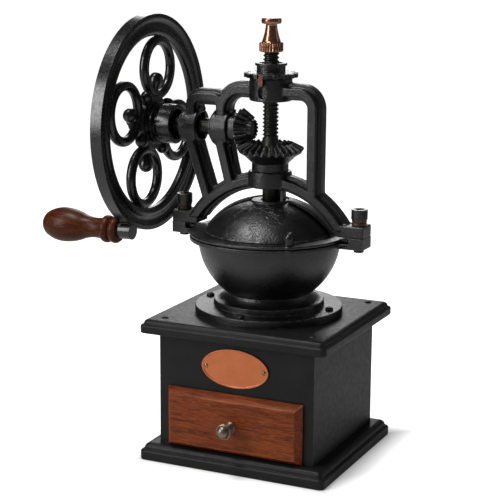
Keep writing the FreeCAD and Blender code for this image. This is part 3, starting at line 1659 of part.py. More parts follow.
def pinion():
    """Small bevel gear on the shaft's end, held by a cross pin."""
    teeth = round(float(S.pinion_teeth))
    cone = math.atan2(float(S.pinion_teeth), float(S.gear_teeth))
    bore = float(S.shaft_radius + S.seat_clearance)
    hub, back, front = float(S.pinion_hub_radius), -float(S.pinion_back), -float(S.pinion_front)
    foot_radius, foot_height = cone_corner(cone, -float(S.dedendum) * float(S.gear_module), 1.0)
    rear = [(bore, back), (hub, back), (hub, foot_height - float(S.pinion_hub_step))]
    nose = [(float(S.pinion_nose), front), (bore, front)]
    solid = bevel_gear(teeth, cone, math.pi / teeth, rear, nose)
    pin_radius = float(S.pinion_pin_radius + S.seat_clearance)
    start = Vector(-foot_radius * 2, 0, -float(S.pinion_pin_offset))
    solid = solid.cut(Part.makeCylinder(pin_radius, foot_radius * 4, start, Vector(1, 0, 0)))
    piece = code_piece("pinion", solid)
    place(piece, z=SHAFT_Z, rotation=ALONG_SHAFT)
    body = new_body("pinion_pin")
    half = S.pinion_hub_radius
    sketch = draw(body, "YZ_Plane", circles=[(0, -S.pinion_pin_offset, S.pinion_pin_radius)])
    pad(body, sketch, half * 2, both_sides=True)
    place(body, z=SHAFT_Z, rotation=ALONG_SHAFT)
    keep(body)


def crown_gear():
    """Large bevel gear on the spindle: toothed dish on a flared hub, with a keyway."""
    teeth = round(float(S.gear_teeth))
    cone = math.atan2(float(S.gear_teeth), float(S.pinion_teeth))
    apex = float(S.shaft_height)
    bore = float(S.thread_radius + S.running_clearance)
    bottom = float(S.lower_boss_top + S.thrust_gap) - apex
    hub = float(S.gear_hub_radius)
    rear = [
        (bore, bottom),
        (hub, bottom),
        (hub, float(S.gear_hub_top) - apex),
        (float(S.gear_flare_radius), float(S.gear_flare_height) - apex),
    ]
    dish = float(S.gear_dish_height) - apex
    front = [(float(S.gear_dish_radius), dish), (bore, dish)]
    solid = bevel_gear(teeth, cone, math.pi, rear, front)
    width, tall = float(S.key_width), float(S.key_height)
    sunk = float(S.thread_radius) - float(S.key_sink)
    slot = Part.makeBox(width, tall, -bottom, Vector(-width / 2, sunk, bottom))
    solid = solid.cut(slot)
    piece = code_piece("crown_gear", solid)
    place(piece, z=SHAFT_Z)
    body = new_body("gear_key")
    half = S.key_width * HALF
    low = S.thread_radius - S.key_sink
    outline = box_outline(-half, low, half, low + S.key_height)
    pad(body, draw(body, "XY_Plane", [outline], lift=S.key_bottom), S.key_length)
    place(body, z=BOX_TOP)
    keep(body)


# Spindle and adjuster

def spindle():
    """Long spindle: threaded above, plain below, with a collar over the burr and a stud at its foot."""
    body = new_body("spindle")
    stud_end = -S.burr_washer - S.burr_nut_height - S.spindle_tail
    collar = S.inner_burr_top
    outline = [
        (0, stud_end),
        (S.spindle_stud_radius, stud_end),
        (S.spindle_stud_radius, 0),
        (S.spindle_radius, 0),
        (S.spindle_radius, collar),
        (S.spindle_collar_radius, collar),
        (S.spindle_collar_radius, collar + S.spindle_collar),
        (S.spindle_radius, collar + S.spindle_collar),
        (S.spindle_radius, S.spindle_shoulder),
        (S.thread_radius, S.spindle_shoulder),
        (S.thread_radius, S.spindle_top),
        (0, S.spindle_top),
    ]
    turn(body, draw(body, "XZ_Plane", [outline]))
    half = S.key_width * HALF + S.running_clearance
    floor = S.thread_radius - S.key_sink - S.running_clearance
    keyway = box_outline(-half, floor, half, S.thread_radius * 2)
    length = S.key_length + S.keyway_room * 2
    top = S.key_bottom + S.key_length + S.keyway_room
    pocket(body, draw(body, "XY_Plane", [keyway], lift=top), length)
    place(body, z=BOX_TOP)
    keep(body)


def thrust_nut():
    """Round nut on the spindle that hangs it on the sleeve."""
    body = new_body("thrust_nut")
    inner = S.thread_radius + S.seat_clearance
    outline = box_outline(inner, S.sleeve_top, S.thrust_nut_radius, S.sleeve_top + S.thrust_nut)
    turn(body, draw(body, "XZ_Plane", [outline]))
    place(body, z=BOX_TOP)
    keep(body)


def finial_knob():
    """Turned knob on the spindle's top: knurled collar, flared waist and round head."""
    body = new_body("finial_knob")
    bore = S.thread_radius + S.seat_clearance
    edge, knurl = S.knob_knurl_edge, S.knob_knurl_radius
    low, high = S.knob_bottom, S.knob_bottom + S.knob_knurl
    head, head_half = S.knob_head_radius, S.knob_head_height * HALF
    head_low = S.knob_top - S.knob_head_height - edge
    crown = head - head_half
    dome = (crown * crown + edge * edge) / (edge * 2)
    outline = [
        (bore, low),
        (knurl - edge, low),
        (knurl, low + edge),
        (knurl, high - edge),
        (knurl - edge, high),
        (S.knob_flare_radius, high, -S.knob_flare_bend),
        (S.knob_waist_radius, S.knob_waist),
        (S.knob_waist_radius, head_low),
        (crown, head_low, head_half),
        (head, head_low + head_half, head_half),
        (crown, head_low + S.knob_head_height, dome),
        (0, S.knob_top),
        (0, S.spindle_top),
        (bore, S.spindle_top),
    ]
    turn(body, draw(body, "XZ_Plane", [outline]))
    place(body, z=BOX_TOP)
    keep(body)


def burr_fastening():
    """Washer and nut that hold the inner burr on the spindle."""
    body = new_body("burr_washer")
    hole = S.spindle_stud_radius + S.seat_clearance
    outline = box_outline(hole, -S.burr_washer, S.burr_washer_radius, 0)
    turn(body, draw(body, "XZ_Plane", [outline]))
    place(body, z=BOX_TOP)
    keep(body)
    body = new_body("burr_nut")
    start = -S.burr_washer - S.burr_nut_height
    nut = draw(body, "XY_Plane", [hexagon_outline(S.burr_nut_half_flats)], [(0, 0, hole)], lift=start)
    pad(body, nut, S.burr_nut_height)
    place(body, z=BOX_TOP)
    keep(body)


def adjuster_disc():
    """Notched disc with a lipped collar, which turns on the upper boss."""
    body = new_body("adjuster_disc")
    bore = S.sleeve_radius + S.running_clearance
    collar_top = DISC_TOP + S.adjuster_collar
    outline = [
        (bore, DISC_BOTTOM),
        (S.disc_radius, DISC_BOTTOM),
        (S.disc_radius, DISC_TOP),
        (S.adjuster_collar_radius, DISC_TOP),
        (S.adjuster_collar_radius, collar_top - S.adjuster_lip),
        (S.adjuster_lip_radius, collar_top - S.adjuster_lip),
        (S.adjuster_lip_radius, collar_top),
        (bore, collar_top),
    ]
    turn(body, draw(body, "XZ_Plane", [outline]))
    half = S.notch_width * HALF
    notch = box_outline(-half, -S.disc_radius * 2, half, -S.notch_root)
    cut = pocket(body, draw(body, "XY_Plane", [notch], lift=DISC_TOP), S.disc_thickness)
    around(body, [cut], S.disc_notches)
    place(body, z=BOX_TOP)
    keep(body)


def adjuster_sleeve():
    """Sleeve keyed in the upper boss; the disc's thread moves it up and down."""
    body = new_body("adjuster_sleeve")
    inner = S.thread_radius + S.running_clearance
    outline = box_outline(inner, S.sleeve_bottom, S.sleeve_radius, S.sleeve_top)
    turn(body, draw(body, "XZ_Plane", [outline]))
    half = S.sleeve_key_width * HALF
    key = box_outline(-half, S.sleeve_radius - S.sleeve_key_rise, half, S.sleeve_radius + S.sleeve_key_rise)
    length = S.upper_boss_top - S.sleeve_bottom - S.disc_thickness
    pad(body, draw(body, "XY_Plane", [key], lift=S.sleeve_bottom), length)
    place(body, z=BOX_TOP)
    keep(body)


def build():
    """Make every piece, box first and spindle last."""
    base_plate()
    box_panels()
    top_plate()
    drawer_runners()
    wood_screws()
    oval_plate()
    plate_rivets()
    drawer_front()
    drawer_box()
    drawer_knob()
    drawer_knob_screw()
    hopper_bowl()
    rear_cover()
    cover_pin()
    hopper_door()
    burrs()
    gear_frame()
    bushes()
    clamp_bolts()
    detent_spring()
    crank_wheel()
    wheel_shaft()
    wheel_nut()
    thrust_washer()
    grip_bolt()
    crank_grip()
    pinion()
    crown_gear()
    spindle()
    thrust_nut()
    finial_knob()
    burr_fastening()
    adjuster_disc()
    adjuster_sleeve()
    doc.recompute()


def check():
    """Stop if any object failed or any piece is not a sound solid."""
    for thing in doc.Objects:
        if "Invalid" in thing.State or "Error" in thing.State:
            raise RuntimeError(f"{thing.Label} failed: {thing.State}")
    for piece in pieces:
        if piece.Shape.isNull() or not piece.Shape.isValid() or not piece.Shape.Solids:
            raise RuntimeError(f"{piece.Label} is not a valid solid")


def write_parts():
    """Write each piece to its own file."""
    os.makedirs("parts", exist_ok=True)
    for piece in pieces:
        piece.Shape.exportStep(f"parts/{piece.Label}.step")


build()
check()
write_parts()
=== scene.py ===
import json
import math

import bpy
from mathutils import Matrix, Vector

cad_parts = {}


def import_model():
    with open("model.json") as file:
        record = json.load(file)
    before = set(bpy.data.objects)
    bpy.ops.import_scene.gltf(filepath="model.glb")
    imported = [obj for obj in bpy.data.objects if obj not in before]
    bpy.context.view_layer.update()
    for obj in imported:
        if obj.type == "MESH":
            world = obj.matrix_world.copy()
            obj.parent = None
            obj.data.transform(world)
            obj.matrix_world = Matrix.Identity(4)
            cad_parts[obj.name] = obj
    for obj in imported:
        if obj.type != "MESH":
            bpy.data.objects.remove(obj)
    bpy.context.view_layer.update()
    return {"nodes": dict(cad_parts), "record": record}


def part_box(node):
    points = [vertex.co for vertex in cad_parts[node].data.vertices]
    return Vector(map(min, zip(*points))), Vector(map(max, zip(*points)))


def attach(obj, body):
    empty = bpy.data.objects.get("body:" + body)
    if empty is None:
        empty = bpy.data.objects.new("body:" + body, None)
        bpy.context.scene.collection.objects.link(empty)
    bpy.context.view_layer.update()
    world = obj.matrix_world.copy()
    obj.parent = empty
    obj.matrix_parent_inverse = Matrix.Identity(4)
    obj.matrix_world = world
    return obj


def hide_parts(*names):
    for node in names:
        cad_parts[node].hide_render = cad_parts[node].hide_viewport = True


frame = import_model()
NODES = frame["nodes"]
SLOT_OF = {part["node"]: part["material_slot"] for part in frame["record"]["subparts"]}
MM = 0.001


# Material building blocks

class Shade:
    """One procedural material, built from short calls. A scale is in features per metre."""

    # Roughness of the noise that makes patches, and the parts of it that sheen and the edge wear with its
    # painted highlight use.
    PATCHY = 0.6
    SHEEN_RANGE = (0.3, 0.7)
    WEAR_AND_HIGHLIGHT_RANGE = (0.42, 0.62)
    EDGE_SAMPLES = 6
    # Cosine from the true to the rounded normal, above which a face counts as open.
    OPEN_FACE = 0.997

    def __init__(self, name):
        self.material = bpy.data.materials.new(name)
        self.material.use_nodes = True
        self.tree = self.material.node_tree
        self.tree.nodes.clear()
        self.bsdf = self.node("ShaderNodeBsdfPrincipled")
        self.tree.links.new(self.bsdf.outputs[0], self.node("ShaderNodeOutputMaterial").inputs[0])
        self.place = self.node("ShaderNodeTexCoord").outputs["Object"]
        self.normal = None

    def node(self, kind):
        return self.tree.nodes.new(kind)

    def put(self, socket, value):
        """Links a socket, or sets a plain value."""
        if isinstance(value, bpy.types.NodeSocket):
            self.tree.links.new(value, socket)
        elif isinstance(value, tuple) and len(value) == 3 and len(socket.default_value) == 4:
            socket.default_value = (*value, 1.0)
        else:
            socket.default_value = value

    def set(self, **values):
        """Sets inputs of the main shader by name."""
        for name, value in values.items():
            self.put(self.bsdf.inputs[name.replace("_", " ")], value)

    def stretched(self, scale):
        """The place on the object, with its axes scaled."""
        mapping = self.node("ShaderNodeMapping")
        self.put(mapping.inputs["Vector"], self.place)
        self.put(mapping.inputs["Scale"], scale)
        return mapping.outputs[0]

    def axis(self, name):
        """One coordinate of the place on the object."""
        split = self.node("ShaderNodeSeparateXYZ")
        self.put(split.inputs[0], self.place)
        return split.outputs[name]

    def noise(self, scale, detail, roughness=0.5, distortion=0.0, where=None):
        noise = self.node("ShaderNodeTexNoise")
        self.put(noise.inputs["Vector"], where or self.place)
        self.put(noise.inputs["Scale"], scale)
        self.put(noise.inputs["Detail"], detail)
        self.put(noise.inputs["Roughness"], roughness)
        self.put(noise.inputs["Distortion"], distortion)
        return noise.outputs["Fac"]

    def span(self, value, low, high, to_low=0.0, to_high=1.0):
        """Maps low..high to to_low..to_high and holds the ends."""
        span = self.node("ShaderNodeMapRange")
        span.clamp = True
        self.put(span.inputs["Value"], value)
        self.put(span.inputs["From Min"], low)
        self.put(span.inputs["From Max"], high)
        self.put(span.inputs["To Min"], to_low)
        self.put(span.inputs["To Max"], to_high)
        return span.outputs["Result"]

    def calc(self, operation, first, second=0.0):
        node = self.node("ShaderNodeMath")
        node.operation = operation
        self.put(node.inputs[0], first)
        self.put(node.inputs[1], second)
        return node.outputs[0]

    def product(self, first, second):
        return self.calc("MULTIPLY", first, second)

    def blend(self, factor, first, second):
        """The first colour where the factor is 0 and the second where it is 1."""
        mix = self.node("ShaderNodeMix")
        mix.data_type = "RGBA"
        self.put(mix.inputs["Factor"], factor)
        self.put(mix.inputs[6], first)
        self.put(mix.inputs[7], second)
        return mix.outputs[2]

    def mottle(self, first, second, scale, detail, swing, roughness=PATCHY):
        """Soft patches of two colours. A small swing makes their borders sharp."""
        patches = self.noise(scale, detail, roughness)
        return self.blend(self.span(patches, 0.5 - swing, 0.5 + swing), first, second)

    def sheen(self, scale, detail, smooth, dull):
        """Surface roughness that wanders between smooth and dull."""
        patches = self.noise(scale, detail, self.PATCHY)
        self.set(Roughness=self.span(patches, *self.SHEEN_RANGE, smooth, dull))

    def edges(self, radius, blunt):
        """1 near sharp outer and inner edges, 0 on open faces."""
        rounded = self.node("ShaderNodeBevel")
        rounded.samples = self.EDGE_SAMPLES
        self.put(rounded.inputs["Radius"], radius)
        shape = self.node("ShaderNodeNewGeometry")
        dot = self.node("ShaderNodeVectorMath")
        dot.operation = "DOT_PRODUCT"
        self.put(dot.inputs[0], rounded.outputs[0])
        self.put(dot.inputs[1], shape.outputs["Normal"])
        return self.span(dot.outputs["Value"], self.OPEN_FACE, blunt)

    def edge_wear_and_highlight(self, tone, bare_and_highlit_edge, radius, scale, amount, blunt=0.86):
        """Base colour with broken wear and a painted highlight along edges. A higher blunt also finds shallow
        edges.
        """
        patches = self.span(self.noise(scale, detail=4.0, roughness=self.PATCHY), *self.WEAR_AND_HIGHLIGHT_RANGE)
        # The edge colour is partly wear and partly a painted highlight.
        wear_and_highlight = self.product(self.product(self.edges(radius, blunt), patches), amount)
        self.set(Base_Color=self.blend(wear_and_highlight, tone, bare_and_highlit_edge))

    def bump(self, height, strength, depth):
        """Adds one layer of relief on top of the layers before it."""
        bump = self.node("ShaderNodeBump")
        self.put(bump.inputs["Height"], height)
        self.put(bump.inputs["Strength"], strength)
        self.put(bump.inputs["Distance"], depth)
        if self.normal is not None:
            self.put(bump.inputs["Normal"], self.normal)
        self.normal = bump.outputs[0]
        self.put(self.bsdf.inputs["Normal"], self.normal)


def darker(colour, share):
    return tuple(share * part for part in colour)


# Materials

def cast_iron(name, grain, gloss, wear_and_highlight, veins=0.0):
    """Black satin casting: pebbled paint, thin edges that are partly worn and partly a painted highlight, and
    raised casting veins.
    """
    s = Shade(name)
    tone = s.mottle((0.0022, 0.0022, 0.0022), (0.005, 0.005, 0.0048), scale=70.0, detail=5.0, swing=0.15)
    # The lighter edges are partly wear and partly a painted highlight.
    s.edge_wear_and_highlight(tone, bare_and_highlit_edge=(0.11, 0.108, 0.105), radius=1.6 * MM, scale=260.0, amount=wear_and_highlight)
    s.sheen(scale=330.0, detail=4.0, smooth=gloss - 0.05, dull=gloss + 0.07)
    s.set(Specular_IOR_Level=0.5)
    if veins:
        wander = s.noise(scale=120.0, detail=3.0, roughness=0.55, distortion=0.9)
        off_line = s.calc("ABSOLUTE", s.calc("SUBTRACT", wander, 0.5))
        patches = s.span(s.noise(scale=24.0, detail=2.0), 0.45, 0.6)
        s.bump(s.product(s.span(off_line, 0.0, 0.05, 1.0, 0.0), patches), strength=veins, depth=0.7 * MM)
    s.bump(s.noise(scale=210.0, detail=3.0), strength=0.25 * grain, depth=0.5 * MM)
    s.bump(s.noise(scale=680.0, detail=3.0, roughness=0.6), strength=grain, depth=0.38 * MM)
    return s.material


def black_steel(name, gloss, tint):
    """Oiled black steel with fine handling marks."""
    s = Shade(name)
    tone = s.mottle(darker(tint, 0.5), tint, scale=160.0, detail=4.0, swing=0.15)
    s.edge_wear_and_highlight(tone, bare_and_highlit_edge=(0.3, 0.293, 0.285), radius=0.7 * MM, scale=420.0, amount=0.8)
    s.sheen(scale=600.0, detail=3.0, smooth=gloss - 0.05, dull=gloss + 0.1)
    s.set(Metallic=0.7)
    s.bump(s.noise(scale=1400.0, detail=2.0), strength=0.12, depth=0.1 * MM)
    return s.material


def bright_steel():
    """Turned steel, used but clean."""
    s = Shade("bright_steel")
    tone = s.mottle((0.2, 0.195, 0.19), (0.36, 0.355, 0.345), scale=90.0, detail=5.0, swing=0.2)
    s.edge_wear_and_highlight(tone, bare_and_highlit_edge=(0.52, 0.51, 0.5), radius=0.5 * MM, scale=380.0, amount=0.6)
    s.sheen(scale=500.0, detail=3.0, smooth=0.24, dull=0.4)
    s.set(Metallic=1.0)
    turning = s.noise(scale=900.0, detail=2.0, where=s.stretched((1.0, 1.0, 7.0)))
    s.bump(turning, strength=0.1, depth=0.08 * MM)
    return s.material


def rusty_steel():
    """Spring steel with rust between dark patches."""
    s = Shade("rusty_steel")
    rust = s.span(s.noise(scale=420.0, detail=5.0, roughness=0.65), 0.45, 0.66)
    specks = s.noise(scale=900.0, detail=3.0, roughness=0.6)
    stain = s.blend(specks, (0.07, 0.026, 0.011), (0.17, 0.068, 0.031))
    s.set(Base_Color=s.blend(rust, (0.024, 0.021, 0.02), stain), Metallic=0.35)
    s.set(Roughness=s.span(rust, 0.0, 1.0, 0.34, 0.66))
    s.bump(s.noise(scale=1100.0, detail=4.0, roughness=0.6), strength=0.25, depth=0.15 * MM)
    return s.material


def copper(name, shades, gloss, brushing, wear_and_highlight):
    """Antique copper: darker film in places and bright edges that are partly worn and partly a painted
    highlight.
    """
    dark, light = shades
    s = Shade(name)
    tone = s.mottle(light, dark, scale=90.0, detail=6.0, swing=0.25, roughness=0.65)
    # The bright edges are partly wear and partly a painted highlight.
    s.edge_wear_and_highlight(tone, bare_and_highlit_edge=(0.83, 0.46, 0.31), radius=0.5 * MM, scale=340.0, amount=wear_and_highlight)
    s.sheen(scale=480.0, detail=4.0, smooth=gloss - 0.05, dull=gloss + 0.08)
    s.set(Metallic=0.92)
    s.bump(s.noise(scale=900.0, detail=3.0, where=s.stretched(brushing)), strength=0.1, depth=0.1 * MM)
    return s.material


def bronze():
    """Dark brown bronze."""
    s = Shade("bronze")
    tone = s.mottle((0.125, 0.09, 0.074), (0.235, 0.175, 0.144), scale=260.0, detail=4.0, swing=0.2)
    s.edge_wear_and_highlight(tone, bare_and_highlit_edge=(0.4, 0.29, 0.21), radius=0.5 * MM, scale=380.0, amount=0.5)
    s.sheen(scale=520.0, detail=3.0, smooth=0.3, dull=0.44)
    s.set(Metallic=0.85)
    s.bump(s.noise(scale=1000.0, detail=2.0), strength=0.08, depth=0.1 * MM)
    return s.material


def black_wood():
    """Black satin paint over close grained board."""
    s = Shade("black_wood")
    tone = s.mottle((0.0065, 0.0065, 0.0065), (0.0115, 0.0113, 0.0111), scale=45.0, detail=5.0, swing=0.2)
    s.edge_wear_and_highlight(tone, bare_and_highlit_edge=(0.07, 0.066, 0.062), radius=0.9 * MM, scale=180.0, amount=0.55)
    s.sheen(scale=260.0, detail=4.0, smooth=0.36, dull=0.5)
    s.set(Specular_IOR_Level=0.16)
    board = s.stretched((1.0, 9.0, 9.0))
    grain = s.noise(scale=60.0, detail=5.0, roughness=0.6, distortion=0.3, where=board)
    s.bump(grain, strength=0.1, depth=0.35 * MM)
    s.bump(s.noise(scale=1100.0, detail=2.0), strength=0.08, depth=0.12 * MM)
    return s.material


def wood(name, shades, along, figure, gloss, coat):
    """Open grained wood: long figure, fine streaks, pores and lighter edges that are partly worn and partly a
    painted highlight.
    """
    dark, middle, light, edge = shades
    s = Shade(name)
    long_way = s.stretched(along)
    bands = s.noise(figure, detail=6.0, roughness=0.62, distortion=1.2, where=long_way)
    streaks = s.noise(5.0 * figure, detail=4.0, roughness=0.6, distortion=0.2, where=long_way)
    pores = s.span(s.noise(11.0 * figure, detail=2.0, where=long_way), 0.6, 0.7)
    tone = s.blend(s.span(bands, 0.3, 0.66), dark, middle)
    tone = s.blend(s.span(streaks, 0.5, 0.78, 0.0, 0.6), tone, light)
    tone = s.blend(s.product(pores, 0.75), tone, darker(dark, 0.35))
    # The lighter edges are partly wear and partly a painted highlight, and the high blunt draws them along
    # shallow bevels too.
    s.edge_wear_and_highlight(tone, bare_and_highlit_edge=edge, radius=0.9 * MM, scale=60.0, amount=0.7, blunt=0.97)
    s.set(Roughness=s.span(streaks, 0.3, 0.7, gloss - 0.06, gloss + 0.1))
    s.set(Coat_Weight=coat, Coat_Roughness=0.16, Specular_IOR_Level=0.11)
    s.bump(streaks, strength=0.12, depth=0.3 * MM)
    s.bump(pores, strength=-0.25, depth=0.2 * MM)
    return s.material


# Shades of each wood: dark bands, ground, light streaks and edges that are partly worn and partly a painted
# highlight.
MAHOGANY = ((0.06, 0.0105, 0.003), (0.215, 0.046, 0.0115), (0.35, 0.1, 0.03), (0.55, 0.27, 0.14))
GRIP = ((0.013, 0.0028, 0.001), (0.066, 0.0148, 0.0046), (0.2, 0.06, 0.019), (0.14, 0.044, 0.017))
PALE = ((0.25, 0.145, 0.075), (0.42, 0.27, 0.15), (0.55, 0.38, 0.23), (0.6, 0.44, 0.29))

# Shades of each copper: film and metal.
PLATE_COPPER = ((0.44, 0.128, 0.05), (0.51, 0.165, 0.07))
ANTIQUE_COPPER = ((0.16, 0.074, 0.045), (0.42, 0.212, 0.134))
TARNISHED_COPPER = ((0.06, 0.026, 0.016), (0.2, 0.085, 0.05))

# Brushed marks run along the axes with the scale 1.
FLAT_BRUSHING = (1.0, 6.0, 6.0)
TURNED_BRUSHING = (1.0, 1.0, 5.0)

# One finish for each material slot of the record.
FINISH = {
    "black_wood": black_wood(),
    "mahogany": wood("mahogany", MAHOGANY, along=(1.0, 13.0, 13.0), figure=27.0, gloss=0.36, coat=0.03),
    "pale_wood": wood("pale_wood", PALE, along=(12.0, 1.0, 12.0), figure=20.0, gloss=0.5, coat=0.0),
    "grip_wood": wood("grip_wood", GRIP, along=(1.0, 9.0, 9.0), figure=34.0, gloss=0.34, coat=0.02),
    "cast_black": cast_iron("cast_black", grain=0.9, gloss=0.31, wear_and_highlight=0.85),
    "wheel_black": cast_iron("wheel_black", grain=0.09, gloss=0.26, wear_and_highlight=0.3),
    "black_steel": black_steel("black_steel", gloss=0.2, tint=(0.05, 0.0485, 0.047)),
    "bright_steel": bright_steel(),
    "rusty_steel": rusty_steel(),
    "copper": copper("copper", PLATE_COPPER, gloss=0.42, brushing=FLAT_BRUSHING, wear_and_highlight=0.9),
    "bronze": bronze(),
}
DOME_CAST = cast_iron("dome_cast", grain=0.75, gloss=0.31, wear_and_highlight=0.8, veins=0.42)
FINIAL_COPPER = copper("finial_copper", ANTIQUE_COPPER, gloss=0.22, brushing=TURNED_BRUSHING, wear_and_highlight=0.2)
SPRING_COPPER = copper("spring_copper", TARNISHED_COPPER, gloss=0.34, brushing=TURNED_BRUSHING, wear_and_highlight=0.6)
DARK_STEEL = black_steel("dark_steel", gloss=0.32, tint=(0.03, 0.029, 0.028))


# CAD nodes: rounded edges and finishes

# Width of the rounded edges, in mm. The other nodes keep their edges sharp.
EDGE_WIDTH = {
    "gear_frame": 1.1,
    "hopper_bowl": 0.5,
    "rear_cover": 0.9,
    "hopper_door": 0.4,
    "crank_wheel": 0.35,
    "drawer_front": 0.6,
    "crown_gear": 0.3,
    "pinion": 0.3,
    "adjuster_disc": 0.35,
    "oval_plate": 0.3,
    "clamp_bolts": 0.3,
    "wheel_nut": 0.3,
    "clamp_washers": 0.25,
}
WELD_DISTANCE = 0.001
FLAT_ANGLE = math.radians(0.4)
SHARP_ANGLE = math.radians(38.0)
EDGE_SEGMENTS = 3

# Nodes that differ from the finish of their slot.
OWN_FINISH = {
    "hopper_door": DOME_CAST,
    "rear_cover": DOME_CAST,
    "cover_pin": FINISH["wheel_black"],
    "wheel_shaft": DARK_STEEL,
    "shaft_bush_outer": DARK_STEEL,
    "shaft_bush_inner": DARK_STEEL,
    "spindle_bush": DARK_STEEL,
    "thrust_washer": DARK_STEEL,
    "detent_spring": SPRING_COPPER,
    "top_plate_screws": FINISH["black_wood"],
    "plate_rivets": FINIAL_COPPER,
}


def paint(obj, material):
    obj.data.materials.clear()
    obj.data.materials.append(material)


def smooth(mesh):
    for face in mesh.polygons:
        face.use_smooth = True


def weigh_normals(obj):
    """Lets large faces look flat beside small rounded ones."""
    weights = obj.modifiers.new("weights", "WEIGHTED_NORMAL")
    weights.keep_sharp = False


def soften(obj, width):
    """Rounds the sharp edges of a CAD node and keeps its flat faces flat."""
    weld = obj.modifiers.new("weld", "WELD")
    weld.merge_threshold = WELD_DISTANCE * MM
    flat = obj.modifiers.new("flat", "DECIMATE")
    flat.decimate_type = "DISSOLVE"
    flat.angle_limit = FLAT_ANGLE
    bevel = obj.modifiers.new("bevel", "BEVEL")
    bevel.width = width * MM
    bevel.segments = EDGE_SEGMENTS
    bevel.limit_method = "ANGLE"
    bevel.angle_limit = SHARP_ANGLE
    bevel.use_clamp_overlap = False
    weigh_normals(obj)
    smooth(obj.data)


def dress_nodes():
    """Gives every CAD node its finish, and rounded edges where they show."""
    for name, obj in NODES.items():
        paint(obj, OWN_FINISH.get(name, FINISH[SLOT_OF[name]]))
        if name in EDGE_WIDTH:
            soften(obj, EDGE_WIDTH[name])


# Mesh building blocks, with sizes in mm and points in metres

def plain(radius):
    """The same radius at every angle."""
    return lambda angle: radius


def ring(height, radius_at, around):
    """Points round the Z axis."""
    points = []
    for step in range(around):
        angle = math.tau * step / around
        radius = radius_at(angle)
        points.append(MM * Vector((radius * math.cos(angle), radius * math.sin(angle), height)))
    return points


def wall(rings, looped=False):
    """Faces from each ring to the next, and from the last to the first if looped."""
    around = len(rings[0])
    count = len(rings)
    faces = []
    for lower in range(count if looped else count - 1):
        first = lower * around
        above = (lower + 1) % count * around
        for step in range(around):
            after = (step + 1) % around
            faces.append((first + step, first + after, above + after, above + step))
    return faces


def caps(rings):
    """End faces on the first and the last ring."""
    around = len(rings[0])
    last = (len(rings) - 1) * around
    return [tuple(reversed(range(around))), tuple(range(last, last + around))]


def flat_list(rings):
    return [point for points in rings for point in points]


def turned(rows, around):
    """A solid round the Z axis. A row is (height, radius at each angle)."""
    rings = [ring(height, radius_at, around) for height, radius_at in rows]
    return flat_list(rings), wall(rings) + caps(rings)


def joined(parts):
    """Several pairs of points and faces as one pair."""
    all_points, all_faces = [], []
    for points, faces in parts:
        first = len(all_points)
        all_points += points
        all_faces += [tuple(first + corner for corner in face) for face in faces]
    return all_points, all_faces


def new_object(name, points, faces, material):
    mesh = bpy.data.meshes.new(name)
    mesh.from_pydata(points, [], faces)
    smooth(mesh)
    obj = bpy.data.objects.new(name, mesh)
    bpy.context.scene.collection.objects.link(obj)
    paint(obj, material)
    return obj


def stand_in(name, points, faces, material, body, node):
    """A new piece that rides a body and stands for a CAD node."""
    obj = new_object(name, points, faces, material)
    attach(obj, body)
    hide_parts(node)
    return obj


# Spindle with a round screw thread

SPINDLE_RADIUS = 6.05
SPINDLE_FOOT_RADIUS = 5.6
SPINDLE_TIP_RADIUS = 4.4
GEAR_SEAT_RADIUS = 6.3
GEAR_SEAT_START = 0.2
GEAR_SEAT_CHAMFER = 0.6
GEAR_SEAT_OVERRUN = 3.34
THREAD_START = 0.8
THREAD_END = 0.6
THREAD_PITCH = 3.1
THREAD_ROOT = 5.15
THREAD_CREST = 6.42
THREAD_SHARPNESS = 1.5
THREAD_ROWS = 236


def thread_row(height):
    """Radius around the spindle at one height of the thread."""
    def radius(angle):
        phase = height / THREAD_PITCH - angle / math.tau
        ridge = 0.5 + 0.5 * math.cos(math.tau * phase)
        return THREAD_ROOT + (THREAD_CREST - THREAD_ROOT) * ridge ** THREAD_SHARPNESS
    return height, radius


def spindle():
    """Plain foot, a wider seat for the crown gear and the thread up into the finial."""
    low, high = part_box("spindle")
    gear_low, gear_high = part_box("crown_gear")
    foot, tip = low.z / MM, high.z / MM
    seat_foot = gear_low.z / MM + GEAR_SEAT_START
    seat_top = gear_high.z / MM + GEAR_SEAT_OVERRUN
    bottom, top = seat_top + THREAD_START, tip - THREAD_END
    rows = [
        (foot, plain(SPINDLE_FOOT_RADIUS)),
        (foot + 0.5, plain(SPINDLE_RADIUS)),
        (seat_foot, plain(SPINDLE_RADIUS)),
        (seat_foot + GEAR_SEAT_CHAMFER, plain(GEAR_SEAT_RADIUS)),
        (seat_top, plain(GEAR_SEAT_RADIUS)),
        (seat_top + 0.5, plain(THREAD_ROOT)),
    ]
    for step in range(THREAD_ROWS + 1):
        rows.append(thread_row(bottom + (top - bottom) * step / THREAD_ROWS))
    rows.append((top + 0.5 * THREAD_END, plain(THREAD_ROOT - 0.2)))
    rows.append((tip, plain(SPINDLE_TIP_RADIUS)))
    points, faces = turned(rows, around=40)
    stand_in("spindle_screw", points, faces, DARK_STEEL, "spindle", "spindle")


# Copper finial

KNURLS = 26
KNURL_RADIUS = 9.45
KNURL_DEPTH = 1.0
KNURL_SHAPE = 1.6
COLLAR_HEIGHT = 7.6
COLLAR_EDGE = 8.6
COLLAR_FOOT = 6.7
FLARE_RADIUS = 7.5
FLARE_SHAPE = 1.6
FLARE_STEPS = 12
WAIST_RADIUS = 4.4
WAIST_HEIGHT = 21.4
FINIAL_HEAD = 7.9
FINIAL_BEAD = 1.2
FINIAL_BEAD_STEPS = 8
FINIAL_HEAD_HALF = 2.3
FINIAL_HEAD_MIDDLE = 24.0
FINIAL_CROWN_STEPS = 6
DOME_TIP = 0.15


def knurl(radius, depth):
    """Rounded upright ribs."""
    return lambda angle: radius - depth * abs(math.sin(0.5 * KNURLS * angle)) ** KNURL_SHAPE


